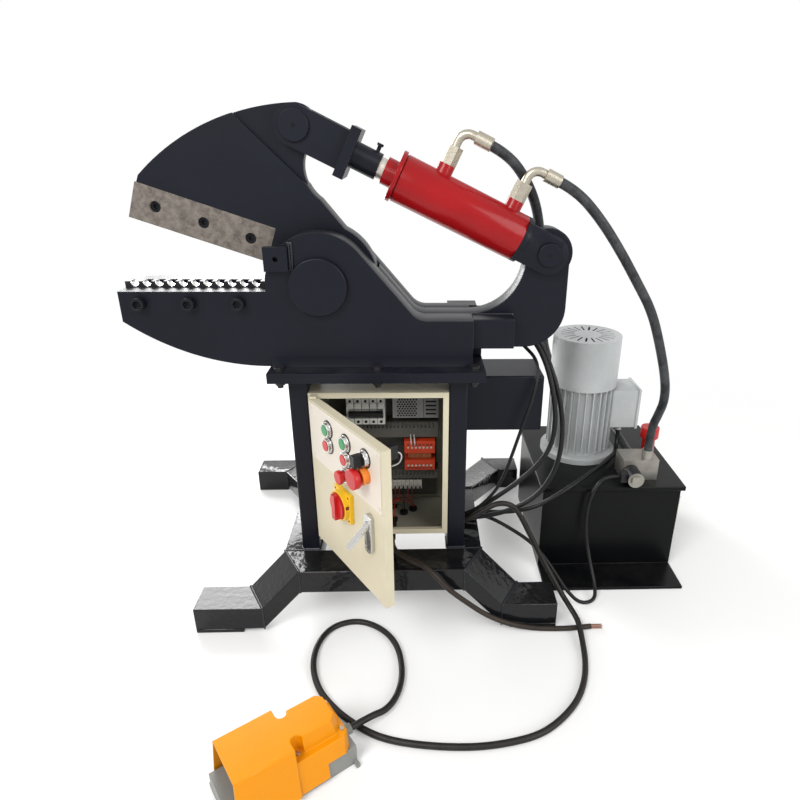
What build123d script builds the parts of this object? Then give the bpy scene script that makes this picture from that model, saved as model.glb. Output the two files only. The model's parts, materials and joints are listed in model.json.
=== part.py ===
"""Alligator shear on a stand, with control cabinet, power unit and foot switch.

Lengths are in mm and +Z is up. The jaws open towards -X and the cabinet door faces -Y.
The machine is drawn about its column, x = 0, and every node is moved together at the end,
so that the origin is the bottom centre of the machine without its cords.
"""
import os
from math import acos, atan2, cos, degrees, hypot, radians, sin, sqrt, tan

from build123d import *

# Stand: bent base tubes, posts and bolted flange
TUBE_WIDTH = 80.0
TUBE_HEIGHT = 56.0
BASE_FRONT = -354.0
BASE_TOP = 166.0
PAD_THICKNESS = 10.0
PAD_LENGTH = 108.0
BEND_OUTER = 182.0
BEND_SKEW = 45.0
LEG_RUN = 89.0
RAIL_END = 0.0
REAR_BEND = 291.0
FOOT_END_LEFT = -426.5
FOOT_END_RIGHT = 398.5
RAIL_INNER = 147.0
POST_SIZE = 40.0
POST_FRONT_Y = -269.0
POST_REAR_Y = -137.0
FLANGE_BOTTOM = 591.0
FLANGE_PLATE = 10.5
PLATE_BOTTOM = FLANGE_BOTTOM + 2 * FLANGE_PLATE
FLANGE_HALF_X = 219.5
FLANGE_FRONT = -308.0
FLANGE_REAR = -58.0
SIDE_BOX_X = 373.0
SIDE_BOX_Y = (-146.0, -20.0)
SIDE_BOX_Z = (407.0, 544.0)

# Flange bolts
BOLT_RADIUS = 6.0
BOLT_HOLE_GAP = 0.75
BOLT_FLATS = 18.0
BOLT_HEAD = 8.0
BOLT_NUT = 10.0
BOLT_TAIL = 6.0
BOLT_COLUMNS = (-198.0, 0.0, 198.0)
BOLT_EDGE = 23.0

# Fixed jaw: two side plates with a centre plate and arm between them
PIVOT_X = -111.5
PIVOT_Z = PLATE_BOTTOM + 164.0
JAW_MID_Y = -171.0
CENTRE_HALF = 26.0
SIDE_PLATE = 40.0
BLADE_SEAT = 24.0
HEAD_RADIUS = 104.0
HEAD_SLOPE = 50.0
PLATE_LEFT = -501.0
PLATE_LEDGE = PLATE_BOTTOM + 155.0
PLATE_NOSE_Z = PLATE_BOTTOM + 95.0
BELLY_END_X = -215.0
PLATE_RIGHT = 195.5
PLATE_FLAT_TOP = PLATE_BOTTOM + 94.0
PLATE_FILLET = 40.0
MOUTH_FLOOR = PLATE_BOTTOM + 123.0
HUB_CLEARANCE = 4.0
WELD_WIDTH = 9.0
WELD_HEIGHT = 18.0
ARM_EYE_X = 349.2
ARM_EYE_Z = PLATE_BOTTOM + 217.9
ARM_EYE_RADIUS = 51.0
ARM_RIGHT = 395.0
ARM_BOTTOM = PLATE_BOTTOM + 19.0
ARM_CORNER = 85.0
ARM_HOLLOW_X = 190.0
ARM_HOLLOW_RADIUS = 115.0
GUSSET_END_X = 283.0
GUSSET_Z = (PLATE_BOTTOM + 29.0, PLATE_BOTTOM + 92.0)
GUSSET_DEPTH = 43.0
ADJUSTER_X = -187.75
ADJUSTER_Z = PLATE_BOTTOM + 219.5
ADJUSTER_SIZE = 46.0
ADJUSTER_PROUD = 15.0
ADJUSTER_HOLE = 5.0
PIVOT_RADIUS = 45.0
PIVOT_CAP_RADIUS = 57.0
PIVOT_CAP = 12.0

# Running fit between a pin and the piece that turns on it
RUNNING_GAP = 0.05

# Blades
LOWER_BLADE_LENGTH = 279.0
BLADE_HEIGHT = 70.0
BLADE_THICKNESS = 24.0
LOWER_BLADE_TOP = PLATE_BOTTOM + 167.0
GROOVE_COUNT = 11
GROOVE_PITCH = 24.0
GROOVE_RADIUS = 8.0
GROOVE_DEPTH = 10.0
BLADE_BOLT_PITCH = 96.0
LOWER_BOLT_FIRST_X = -461.5
LOWER_BOLT_Z = PLATE_BOTTOM + 132.0
BLADE_BOLT_RADIUS = 8.0
BLADE_BOLT_HEAD = 13.0
BLADE_BOLT_PROUD = 16.0
BLADE_BOLT_SOCKET = 14.0
BLADE_BOLT_GAP = 0.25

# Moving jaw
JAW_THICKNESS = 50.0
JAW_HUB_RADIUS = 113.0
JAW_PIN_X = -146.7
JAW_PIN_Z = PLATE_BOTTOM + 455.1
JAW_LOBE_RADIUS = 40.0
JAW_THIN_HALF = 14.0
JAW_NOSE = (-450.7, PLATE_BOTTOM + 365.4)
JAW_CROWN = (-301.0, PLATE_BOTTOM + 461.7)
JAW_THROAT = (-137.0, PLATE_BOTTOM + 373.0)
JAW_THROAT_END = (-107.0, PLATE_BOTTOM + 321.0)
JAW_SHOULDER_ANGLE = 64.0
STEP_START = (-259.0, PLATE_BOTTOM + 474.0)
STEP_END = (-133.0, PLATE_BOTTOM + 351.0)
UPPER_BLADE_CORNER = (-481.3, PLATE_BOTTOM + 288.1)
UPPER_BLADE_LENGTH = 275.0
UPPER_BLADE_LIP = 10.0
UPPER_BOLT_FIRST = 45.0
UPPER_BOLT_HEIGHT = 35.0
UPPER_BOLT_PITCH = 94.0
UPPER_BOLT_RADIUS = 6.5
UPPER_BOLT_HEAD = 10.0
UPPER_BOLT_SUNK = 6.0
UPPER_BOLT_HEAD_LENGTH = 10.0
UPPER_BOLT_GRIP = 16.0
JAW_PIN_RADIUS = 22.0
JAW_PIN_HEAD = 29.0
JAW_PIN_HEAD_LENGTH = 5.0
PIN_HEAD_GAP = 0.5

# Cylinder, by distance from the jaw pin along the axis to the arm pin
CLEVIS_RADIUS = 37.5
CLEVIS_INNER = 14.5
CLEVIS_EAR = 18.0
CLEVIS_SLACK = 2.5
FLANGE_START = 99.0
FLANGE_END = 119.0
FLANGE_SQUARE = 97.0
SLEEVE_RADIUS = 26.0
SLEEVE_END = 171.0
SET_SCREW_RADIUS = 4.0
SET_SCREW_HEAD = 6.5
SET_SCREW_PROUD = 15.0
ROD_RADIUS = 21.0
NECK_START = 183.0
NECK_RADIUS = 27.0
HEAD_START = 205.0
HEAD_END = 214.0
HEAD_RIM = 3.5
GROOVE_LINE = 2.0
BARREL_RADIUS = 47.5
BARREL_BORE = 38.0
BARREL_END = 484.0
BARREL_CAP = 24.0
PISTON_START = 330.0
PISTON_LENGTH = 40.0
PISTON_GAP = 0.4
FORK_PLATE = 12.0
FORK_INNER = 27.0
FORK_EAR = 16.0
FORK_RADIUS = 39.0
ARM_PIN_RADIUS = 20.0
ARM_PIN_HEAD = 24.0
ARM_PIN_HEAD_LENGTH = 4.0
PORT_AT = (290.0, 445.0)
PORT_TURN = (12.0, 0.0)
PORT_BOSS_RADIUS = 17.0
PORT_BOSS_TOP = 64.0
PORT_NUT_FLATS = 30.0
PORT_NUT_TOP = 100.0
ELBOW_TUBE = 9.0
ELBOW_RISE = 132.0
ELBOW_BEND = 22.0
ELBOW_SEAT = 4.0
FERRULE_RADIUS = 13.5
FERRULE_START = 30.0
FERRULE_END = 63.0

# Cabinet
CABINET_HALF_X = 147.0
CABINET_FRONT = -272.0
CABINET_REAR = -112.0
CABINET_Z = (206.0, 556.0)
CABINET_WALL = 2.0
CABINET_LIP = 12.0
CABINET_RETURN = 10.0
PLATE_Y = -132.0
PLATE_SHEET = 3.0
PLATE_HALF_X = 125.0
PLATE_Z = (226.0, 536.0)
DOOR_HINGE_X = -134.0
DOOR_HINGE_Y = -283.0
DOOR_THICKNESS = 18.0
DOOR_SHEET = 2.0
DOOR_START = -6.0
DOOR_END = 288.0
DOOR_Z = (212.0, 550.0)
DOOR_OPEN_ANGLE = 56.0
HINGE_PIN_RADIUS = 3.0
HINGE_EAR = 7.0
HINGE_EAR_THICKNESS = 4.0
PANEL_EDGE = 5.0
PANEL_Z = (420.0, 546.0)
PANEL_SHEET = 1.5
PANEL_SCREW_RADIUS = 3.5
PANEL_SCREW_PROUD = 1.5
PANEL_SCREW_INSET = 9.0
BUTTON_COLUMNS = (84.0, 157.5, 231.0)
BUTTON_ROWS = (514.0, 480.0, 446.0)
BEZEL_RADIUS = 15.0
BEZEL_RING = 2.5
BEZEL_PROUD = 9.0
BEZEL_BASE_RADIUS = 16.5
BUTTON_RADIUS = 11.0
BUTTON_GAP = 0.5
BUTTON_PROUD = 1.0
BUTTON_STEM_RADIUS = 6.0
BUTTON_BODY_DEPTH = 40.0
BUTTON_BODY_HALF = 14.0
BUTTON_TRAVEL = 4.0
KNOB_LENGTH = 24.0
KNOB_WIDTH = 12.0
KNOB_PROUD = 17.0
STOP_RADIUS = 20.0
STOP_HEAD = 13.0
STOP_START = 20.0
STOP_COLLAR_RADIUS = 17.0
STOP_COLLAR = 14.0
RESET_RADIUS = 14.0
RESET_HEAD = 9.0
RESET_START = 14.0
ISOLATOR_U = 141.5
ISOLATOR_Z = 374.0
ISOLATOR_SIZE = 64.0
ISOLATOR_THICKNESS = 9.0
ISOLATOR_HANDLE_RADIUS = 27.0
ISOLATOR_HANDLE = 9.0
ISOLATOR_GRIP_WIDTH = 14.0
ISOLATOR_GRIP = 11.0
ISOLATOR_GAP = 0.6
LOCK_U = 240.0
LOCK_Z = (316.0, 402.0)
LOCK_WIDTH = 24.0
LOCK_DEPTH = 9.0
LOCK_WALL = 4.0
LEVER_LENGTH = 60.0
LEVER_WIDTH = 12.0
LEVER_THICKNESS = 6.0
LEVER_SWING = 50.0
LEVER_PIVOT_DROP = 20.0
LEVER_PIN_RADIUS = 2.0

# Power unit
SKID_X = (395.0, 745.0)
SKID_Y = (-230.0, 216.0)
SKID_SHEET = 8.0
TANK_FRONT = -134.0
TANK_TOP = 232.0
TANK_WALL = 4.0
LID_SHEET = 12.0
LID_OVERHANG = 8.0
MOTOR_X = 524.5
MOTOR_Y = 74.0
MOTOR_FLANGE_RADIUS = 100.0
MOTOR_FLANGE = 14.0
MOTOR_RADIUS = 74.0
MOTOR_FIN = 12.0
MOTOR_FIN_SHEET = 3.0
MOTOR_FIN_COUNT = 28
MOTOR_BODY_TOP = 470.0
COWL_RADIUS = 88.0
COWL_SHEET = 2.0
COWL_TOP = 578.0
COWL_SLOT_COUNT = 20
COWL_SLOT_WIDTH = 5.0
FAN_RADIUS = 70.0
FAN_BLADES = 8
FAN_BLADE_SHEET = 3.0
FAN_Z = (505.0, 545.0)
SHAFT_RADIUS = 12.0
TERMINAL_BOX_DEPTH = 60.0
TERMINAL_BOX_WIDTH = 90.0
TERMINAL_BOX_Z = (330.0, 435.0)
TERMINAL_LID = 6.0
MANIFOLD_X = (600.0, 690.0)
MANIFOLD_Y = (-104.0, -40.0)
MANIFOLD_HEIGHT = 56.0
COIL_RADIUS = 20.0
COIL_LENGTH = 46.0
COIL_NUT_RADIUS = 13.0
COIL_NUT = 8.0
BREATHER_X = 705.0
BREATHER_Y = 20.0
BREATHER_TOP = 335.0
BREATHER_RADIUS = 17.0
BREATHER_CAP_RADIUS = 24.0
BREATHER_CAP = 30.0
GAUGE_Y = -89.0
GAUGE_WIDTH = 24.0
GAUGE_Z = (90.0, 192.0)
GAUGE_DEPTH = 18.0

# Foot switch, drawn along its own length and turned in place
PEDAL_BASE_X = 230.0
PEDAL_BASE_Y = 104.0
PEDAL_CENTRE = (-156.0, -708.0)
PEDAL_YAW = 35.0
PEDAL_BASE_HEIGHT = 42.0
PEDAL_FLANGE = 8.0
PEDAL_HOOD_Y = 126.0
PEDAL_HOOD_TOP = 112.0
PEDAL_HOOD_SHEET = 4.0
PEDAL_LEDGE_Z = 79.0
PEDAL_TREAD_LENGTH = 120.0
PEDAL_TREAD_WIDTH = 76.0
PEDAL_TREAD = 7.0
PEDAL_PIN_RADIUS = 4.0

# Hoses and cables
HOSE_RADIUS = 10.5
SUPPLY_RADIUS = 6.0
PEDAL_CORD_RADIUS = 6.5
POWER_CABLE_RADIUS = 6.0
MOTOR_CABLE_RADIUS = 5.5
VALVE_CABLE_RADIUS = 4.5
SIGNAL_CABLE_RADIUS = 4.0
GLAND_NUT = 14.0
GLAND_FLANGE = 6.0


def block(x, y, z):
    """A box between two limits on each axis."""
    size = [abs(limit[1] - limit[0]) for limit in (x, y, z)]
    middle = [(limit[0] + limit[1]) / 2 for limit in (x, y, z)]
    return Pos(*middle) * Box(*size)


def upright(x, y, z0, z1, radius):
    """A cylinder along Z."""
    return Pos(x, y, (z0 + z1) / 2) * Cylinder(radius, z1 - z0)


def crosswise(x, z, y0, y1, radius):
    """A cylinder along Y."""
    return Pos(x, (y0 + y1) / 2, z) * Rot(90, 0, 0) * Cylinder(radius, y1 - y0)


def slab(face, y0, y1):
    """A face drawn in x and z, given thickness between two y values."""
    return extrude(Plane.XZ.offset(-y1) * face, y1 - y0, dir=(0, -1, 0))


def hexagon(flats, length):
    """A hexagonal prism standing on the origin along Z."""
    return extrude(RegularPolygon(flats / 2, 6, major_radius=False), length)


def polar(centre, radius, angle):
    """The point at an angle in degrees on a circle about a centre."""
    return (centre[0] + radius * cos(radians(angle)), centre[1] + radius * sin(radians(angle)))


def joined(pieces):
    """One solid from pieces that overlap or share faces."""
    result = pieces[0]
    for piece in pieces[1:]:
        result = result + piece
    return result


def group(pieces):
    """Separate solids kept in one node."""
    return Compound(children=[Compound(piece.solids()) for piece in pieces])


def route(points, radius):
    """A round cord along straight runs and tangent bends, with the least bend radius used."""
    corners = [Vector(*point) for point in points]
    bends = []
    for before, here, after in zip(corners, corners[1:], corners[2:]):
        run_in = here - before
        run_out = after - here
        turn = radians(run_in.get_angle(run_out))
        bends.append(0.45 * min(run_in.length, run_out.length) / tan(turn / 2))
    path = FilletPolyline(*corners, radius=bends) if bends else Polyline(*corners)
    start = Plane(origin=path @ 0, z_dir=path % 0)
    return sweep(start * Circle(radius), path=path), min(bends)


def upright_face(start, end, low, high):
    """An upright four-cornered face over the line between two points in plan."""
    return make_face(Polyline(
        (*start, low), (*end, low), (*end, high), (*start, high), close=True))


def rear_leg(side, end):
    """One rear leg: a sloping run from the end of the rail, the foot that it turns out to, and its pad."""
    rear_edge = -BASE_FRONT
    front_edge = rear_edge - TUBE_WIDTH
    bend_rear = (side * REAR_BEND, rear_edge)
    bend_front = (side * (REAR_BEND + BEND_SKEW), front_edge)
    rail_face = upright_face(
        (side * RAIL_INNER, RAIL_END), (side * (RAIL_INNER + TUBE_WIDTH), RAIL_END),
        BASE_TOP - TUBE_HEIGHT, BASE_TOP)
    foot_face = upright_face(bend_rear, bend_front, PAD_THICKNESS, PAD_THICKNESS + TUBE_HEIGHT)
    run = loft([rail_face, foot_face], ruled=True)
    plan = Polygon(bend_rear, bend_front, (end, front_edge), (end, rear_edge), align=None)
    foot = Pos(0, 0, PAD_THICKNESS) * extrude(plan, TUBE_HEIGHT, dir=(0, 0, 1))
    pad = extrude(plan, PAD_THICKNESS, dir=(0, 0, 1))
    return [run, foot, pad]


def stand():
    """Base tubes, feet, posts, side box, flange plates and their bolts."""
    beam_bottom = BASE_TOP - TUBE_HEIGHT
    foot_top = PAD_THICKNESS + TUBE_HEIGHT
    inner = BASE_FRONT + TUBE_WIDTH
    bend_inner = BEND_OUTER + BEND_SKEW
    foot_outer = BEND_OUTER + LEG_RUN

    plan = Polygon(
        (-BEND_OUTER, BASE_FRONT), (BEND_OUTER, BASE_FRONT), (bend_inner, inner), (-bend_inner, inner),
        align=None)
    beam = Pos(0, 0, beam_bottom) * extrude(plan, TUBE_HEIGHT, dir=(0, 0, 1))
    front = [beam]
    for side, end in ((-1, FOOT_END_LEFT), (1, FOOT_END_RIGHT)):
        leg_face = Plane.XZ.offset(-BASE_FRONT) * Polygon(
            (side * BEND_OUTER, BASE_TOP), (side * foot_outer, foot_top),
            (side * foot_outer, PAD_THICKNESS), (side * BEND_OUTER, beam_bottom), align=None)
        front.append(extrude(leg_face, hypot(BEND_SKEW, TUBE_WIDTH), dir=(side * BEND_SKEW, TUBE_WIDTH, 0)))
        foot_plan = Polygon(
            (side * foot_outer, BASE_FRONT), (end, BASE_FRONT), (end, inner),
            (side * (foot_outer + BEND_SKEW), inner), align=None)
        front.append(Pos(0, 0, PAD_THICKNESS) * extrude(foot_plan, TUBE_HEIGHT, dir=(0, 0, 1)))
        pad_inner = end - side * PAD_LENGTH
        front.append(block(sorted((pad_inner, end)), (BASE_FRONT, inner), (0, PAD_THICKNESS)))
    rear = [block((-RAIL_INNER, RAIL_INNER), (RAIL_END - TUBE_WIDTH, RAIL_END), (beam_bottom, BASE_TOP))]
    for side, end in ((-1, FOOT_END_LEFT), (1, FOOT_END_RIGHT)):
        rear.extend(rear_leg(side, end))
    rail_outer = RAIL_INNER + TUBE_WIDTH
    rails = [
        block((side * RAIL_INNER, side * rail_outer), (inner, RAIL_END), (beam_bottom, BASE_TOP))
        for side in (-1, 1)]

    post_outer = RAIL_INNER + POST_SIZE
    posts = [
        block((side * RAIL_INNER, side * post_outer), (y, y + POST_SIZE), (BASE_TOP, FLANGE_BOTTOM))
        for side in (-1, 1) for y in (POST_FRONT_Y, POST_REAR_Y)]
    side_box = block((post_outer, SIDE_BOX_X), SIDE_BOX_Y, SIDE_BOX_Z)

    lower = block((-FLANGE_HALF_X, FLANGE_HALF_X), (FLANGE_FRONT, FLANGE_REAR), (0, FLANGE_PLATE))
    places = [(x, y) for x in BOLT_COLUMNS for y in (FLANGE_FRONT + BOLT_EDGE, FLANGE_REAR - BOLT_EDGE)]
    for x, y in places:
        lower -= upright(x, y, -1, FLANGE_PLATE + 1, BOLT_RADIUS + BOLT_HOLE_GAP)
    bolt = joined([
        Pos(0, 0, PLATE_BOTTOM) * hexagon(BOLT_FLATS, BOLT_HEAD),
        upright(0, 0, FLANGE_BOTTOM - BOLT_NUT - BOLT_TAIL, PLATE_BOTTOM, BOLT_RADIUS),
        Pos(0, 0, FLANGE_BOTTOM - BOLT_NUT) * hexagon(BOLT_FLATS, BOLT_NUT)])
    return {
        "base_frame": group(front + rear + rails),
        "column": group(posts + [side_box]),
        "flange_plates": group([
            Pos(0, 0, FLANGE_BOTTOM) * lower, Pos(0, 0, FLANGE_BOTTOM + FLANGE_PLATE) * lower]),
        "flange_bolts": group([Pos(x, y, 0) * bolt for x, y in places]),
    }


PIVOT = (PIVOT_X, PIVOT_Z)
CENTRE_FRONT = JAW_MID_Y - CENTRE_HALF
CENTRE_REAR = JAW_MID_Y + CENTRE_HALF
FRONT_FACE = CENTRE_FRONT - BLADE_SEAT - SIDE_PLATE
REAR_FACE = CENTRE_REAR + SIDE_PLATE
SLOPE_TOP = polar(PIVOT, HEAD_RADIUS, 90 - HEAD_SLOPE)


def slope_point(distance):
    """A point down the sloping back edge of the fixed jaw."""
    slope = radians(HEAD_SLOPE)
    return (SLOPE_TOP[0] + distance * cos(slope), SLOPE_TOP[1] - distance * sin(slope))


def slope_foot():
    """The two ends and middle of the fillet between the sloping edge and the flat top."""
    corner = slope_point((SLOPE_TOP[1] - PLATE_FLAT_TOP) / sin(radians(HEAD_SLOPE)))
    reach = PLATE_FILLET * tan(radians(HEAD_SLOPE / 2))
    start = (corner[0] - reach * cos(radians(HEAD_SLOPE)), corner[1] + reach * sin(radians(HEAD_SLOPE)))
    end = (corner[0] + reach, PLATE_FLAT_TOP)
    middle = polar((end[0], end[1] + PLATE_FILLET), PLATE_FILLET, -90 - HEAD_SLOPE / 2)
    return start, middle, end


def belly_arc():
    """Arc under the nose, level where it meets the flat bottom."""
    run = BELLY_END_X - PLATE_LEFT
    rise = PLATE_NOSE_Z - PLATE_BOTTOM
    radius = (run ** 2 + rise ** 2) / (2 * rise)
    half_turn = degrees(atan2(rise, run))
    middle = polar((BELLY_END_X, PLATE_BOTTOM + radius), radius, -90 - half_turn)
    return ThreePointArc((PLATE_LEFT, PLATE_NOSE_Z), middle, (BELLY_END_X, PLATE_BOTTOM))


def side_plate_face():
    """Outline of the two fixed side plates."""
    ledge_drop = PIVOT_Z - PLATE_LEDGE
    ledge_x = PIVOT_X - sqrt(HEAD_RADIUS ** 2 - ledge_drop ** 2)
    ledge_angle = degrees(atan2(-ledge_drop, ledge_x - PIVOT_X)) + 360
    start, middle, end = slope_foot()
    edges = [
        Polyline(
            (BELLY_END_X, PLATE_BOTTOM), (PLATE_RIGHT, PLATE_BOTTOM), (PLATE_RIGHT, PLATE_FLAT_TOP), end),
        ThreePointArc(end, middle, start),
        Line(start, SLOPE_TOP),
        ThreePointArc(
            SLOPE_TOP, polar(PIVOT, HEAD_RADIUS, (90 - HEAD_SLOPE + ledge_angle) / 2),
            (ledge_x, PLATE_LEDGE)),
        Polyline((ledge_x, PLATE_LEDGE), (PLATE_LEFT, PLATE_LEDGE), (PLATE_LEFT, PLATE_NOSE_Z)),
        belly_arc()]
    return make_face(edges)


def centre_plate_face():
    """Outline of the centre plate with the arm that holds the cylinder."""
    hub_gap = JAW_HUB_RADIUS + HUB_CLEARANCE
    mouth_drop = PIVOT_Z - MOUTH_FLOOR
    mouth_x = PIVOT_X - sqrt(hub_gap ** 2 - mouth_drop ** 2)
    mouth_angle = degrees(atan2(-mouth_drop, mouth_x - PIVOT_X)) + 360
    hub_exit = slope_point(sqrt(hub_gap ** 2 - HEAD_RADIUS ** 2))
    exit_angle = degrees(atan2(hub_exit[1] - PIVOT_Z, hub_exit[0] - PIVOT_X)) + 360
    start, middle, end = slope_foot()
    eye = (ARM_EYE_X, ARM_EYE_Z)
    hollow = (ARM_HOLLOW_X, PLATE_FLAT_TOP + ARM_HOLLOW_RADIUS)
    hollow_end = polar(hollow, ARM_HOLLOW_RADIUS, -8)
    eye_start = polar(eye, ARM_EYE_RADIUS, 188)
    eye_end_angle = -degrees(acos((ARM_RIGHT - ARM_EYE_X) / ARM_EYE_RADIUS))
    eye_end = polar(eye, ARM_EYE_RADIUS, eye_end_angle)
    corner = (ARM_RIGHT - ARM_CORNER, ARM_BOTTOM + ARM_CORNER)
    edges = [
        Polyline(
            (BELLY_END_X, PLATE_BOTTOM), (FLANGE_HALF_X, PLATE_BOTTOM), (FLANGE_HALF_X, ARM_BOTTOM),
            (corner[0], ARM_BOTTOM)),
        ThreePointArc((corner[0], ARM_BOTTOM), polar(corner, ARM_CORNER, -45), (ARM_RIGHT, corner[1])),
        Line((ARM_RIGHT, corner[1]), eye_end),
        ThreePointArc(eye_end, polar(eye, ARM_EYE_RADIUS, 90), eye_start),
        Line(eye_start, hollow_end),
        ThreePointArc(hollow_end, polar(hollow, ARM_HOLLOW_RADIUS, -49), (hollow[0], PLATE_FLAT_TOP)),
        Line((hollow[0], PLATE_FLAT_TOP), end),
        ThreePointArc(end, middle, start),
        Line(start, hub_exit),
        ThreePointArc(
            hub_exit, polar(PIVOT, hub_gap, (exit_angle + mouth_angle) / 2), (mouth_x, MOUTH_FLOOR)),
        Polyline((mouth_x, MOUTH_FLOOR), (PLATE_LEFT, MOUTH_FLOOR), (PLATE_LEFT, PLATE_NOSE_Z)),
        belly_arc()]
    return make_face(edges)


def lower_blade_solid():
    """Toothed fixed blade with its bolt holes."""
    front = CENTRE_FRONT - BLADE_THICKNESS
    right = PLATE_LEFT + LOWER_BLADE_LENGTH
    height = (LOWER_BLADE_TOP - BLADE_HEIGHT, LOWER_BLADE_TOP)
    blade = block((PLATE_LEFT, right), (front, CENTRE_FRONT), height)
    margin = (LOWER_BLADE_LENGTH - (GROOVE_COUNT - 1) * GROOVE_PITCH) / 2
    for index in range(GROOVE_COUNT):
        x = PLATE_LEFT + margin + index * GROOVE_PITCH
        seat = LOWER_BLADE_TOP - GROOVE_DEPTH + GROOVE_RADIUS
        blade -= crosswise(x, seat, front - 1, CENTRE_FRONT + 1, GROOVE_RADIUS)
        blade -= block(
            (x - GROOVE_RADIUS, x + GROOVE_RADIUS), (front - 1, CENTRE_FRONT + 1), (seat, seat + BLADE_HEIGHT))
    for x in lower_bolt_places():
        blade -= crosswise(x, LOWER_BOLT_Z, front - 1, CENTRE_FRONT + 1, BLADE_BOLT_RADIUS + BLADE_BOLT_GAP)
    return blade


def lower_bolt_places():
    """The x of each bolt that holds the fixed blade."""
    return [LOWER_BOLT_FIRST_X + index * BLADE_BOLT_PITCH for index in range(3)]


def fixed_jaw():
    """Side plates, centre plate, blade, bolts, adjuster and the two fixed pins."""
    hole = PIVOT_RADIUS
    face = side_plate_face()
    blade_right = PLATE_LEFT + LOWER_BLADE_LENGTH
    blade_bottom = LOWER_BLADE_TOP - BLADE_HEIGHT
    front_plate = slab(face, FRONT_FACE, CENTRE_FRONT)
    front_plate -= block((PLATE_LEFT - 1, blade_right), (CENTRE_FRONT - BLADE_SEAT, CENTRE_FRONT + 1),
                         (blade_bottom, LOWER_BLADE_TOP))
    front_plate -= crosswise(*PIVOT, FRONT_FACE - 1, CENTRE_FRONT + 1, hole)
    for x in lower_bolt_places():
        front_plate -= crosswise(
            x, LOWER_BOLT_Z, FRONT_FACE - 1, CENTRE_FRONT, BLADE_BOLT_RADIUS + BLADE_BOLT_GAP)
    weld = Plane.YZ.offset(BELLY_END_X) * Polygon(
        (FRONT_FACE, PLATE_BOTTOM), (FRONT_FACE - WELD_WIDTH, PLATE_BOTTOM),
        (FRONT_FACE, PLATE_BOTTOM + WELD_HEIGHT),
        align=None)
    front_plate += extrude(weld, PLATE_RIGHT - BELLY_END_X, dir=(1, 0, 0))

    rear_plate = slab(face, CENTRE_REAR, REAR_FACE)
    rear_plate -= crosswise(*PIVOT, CENTRE_REAR - 1, REAR_FACE + 1, hole)

    centre = slab(centre_plate_face(), CENTRE_FRONT, CENTRE_REAR)
    centre -= crosswise(ARM_EYE_X, ARM_EYE_Z, CENTRE_FRONT - 1, CENTRE_REAR + 1, ARM_PIN_RADIUS)
    gusset = block((PLATE_RIGHT, GUSSET_END_X), (CENTRE_FRONT - GUSSET_DEPTH, CENTRE_FRONT), GUSSET_Z)

    half = ADJUSTER_SIZE / 2
    adjuster = block((ADJUSTER_X - half, ADJUSTER_X + half), (FRONT_FACE - ADJUSTER_PROUD, FRONT_FACE),
                     (ADJUSTER_Z - half, ADJUSTER_Z + half))
    adjuster -= crosswise(
        ADJUSTER_X, ADJUSTER_Z, FRONT_FACE - ADJUSTER_PROUD - 1, FRONT_FACE + 1, ADJUSTER_HOLE)

    shaft = joined([
        crosswise(*PIVOT, FRONT_FACE, REAR_FACE, PIVOT_RADIUS),
        crosswise(*PIVOT, FRONT_FACE - PIVOT_CAP, FRONT_FACE, PIVOT_CAP_RADIUS),
        crosswise(*PIVOT, REAR_FACE, REAR_FACE + PIVOT_CAP, PIVOT_CAP_RADIUS)])

    ear_out = FORK_INNER + FORK_EAR + PIN_HEAD_GAP
    arm_pin = crosswise(ARM_EYE_X, ARM_EYE_Z, JAW_MID_Y - ear_out, JAW_MID_Y + ear_out, ARM_PIN_RADIUS)
    for side in (-1, 1):
        near = JAW_MID_Y + side * ear_out
        far = near + side * ARM_PIN_HEAD_LENGTH
        arm_pin += crosswise(ARM_EYE_X, ARM_EYE_Z, min(near, far), max(near, far), ARM_PIN_HEAD)

    bolt_end = CENTRE_FRONT - BLADE_THICKNESS / 4
    bolt = joined([
        crosswise(0, 0, FRONT_FACE, bolt_end, BLADE_BOLT_RADIUS),
        crosswise(0, 0, FRONT_FACE - BLADE_BOLT_PROUD, FRONT_FACE, BLADE_BOLT_HEAD)])
    socket = hexagon(BLADE_BOLT_SOCKET, BLADE_BOLT_PROUD)
    bolt -= Pos(0, FRONT_FACE - BLADE_BOLT_PROUD / 2, 0) * Rot(90, 0, 0) * socket
    return {
        "front_side_plate": group([front_plate, adjuster]),
        "centre_plate": joined([centre, gusset]),
        "rear_side_plate": rear_plate,
        "pivot_shaft": shaft,
        "arm_pin": arm_pin,
        "lower_blade": lower_blade_solid(),
        "lower_blade_bolts": group([Pos(x, 0, LOWER_BOLT_Z) * bolt for x in lower_bolt_places()]),
    }


BLADE_REACH = hypot(UPPER_BLADE_CORNER[0] - PIVOT_X, UPPER_BLADE_CORNER[1] - PIVOT_Z)
BLADE_ALONG = (
    (PIVOT_X - UPPER_BLADE_CORNER[0]) / BLADE_REACH,
    (PIVOT_Z - UPPER_BLADE_CORNER[1]) / BLADE_REACH)


def blade_point(along, height):
    """A point of the moving blade, from its lower outer corner."""
    x = UPPER_BLADE_CORNER[0] + along * BLADE_ALONG[0] - height * BLADE_ALONG[1]
    z = UPPER_BLADE_CORNER[1] + along * BLADE_ALONG[1] + height * BLADE_ALONG[0]
    return (x, z)


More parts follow.
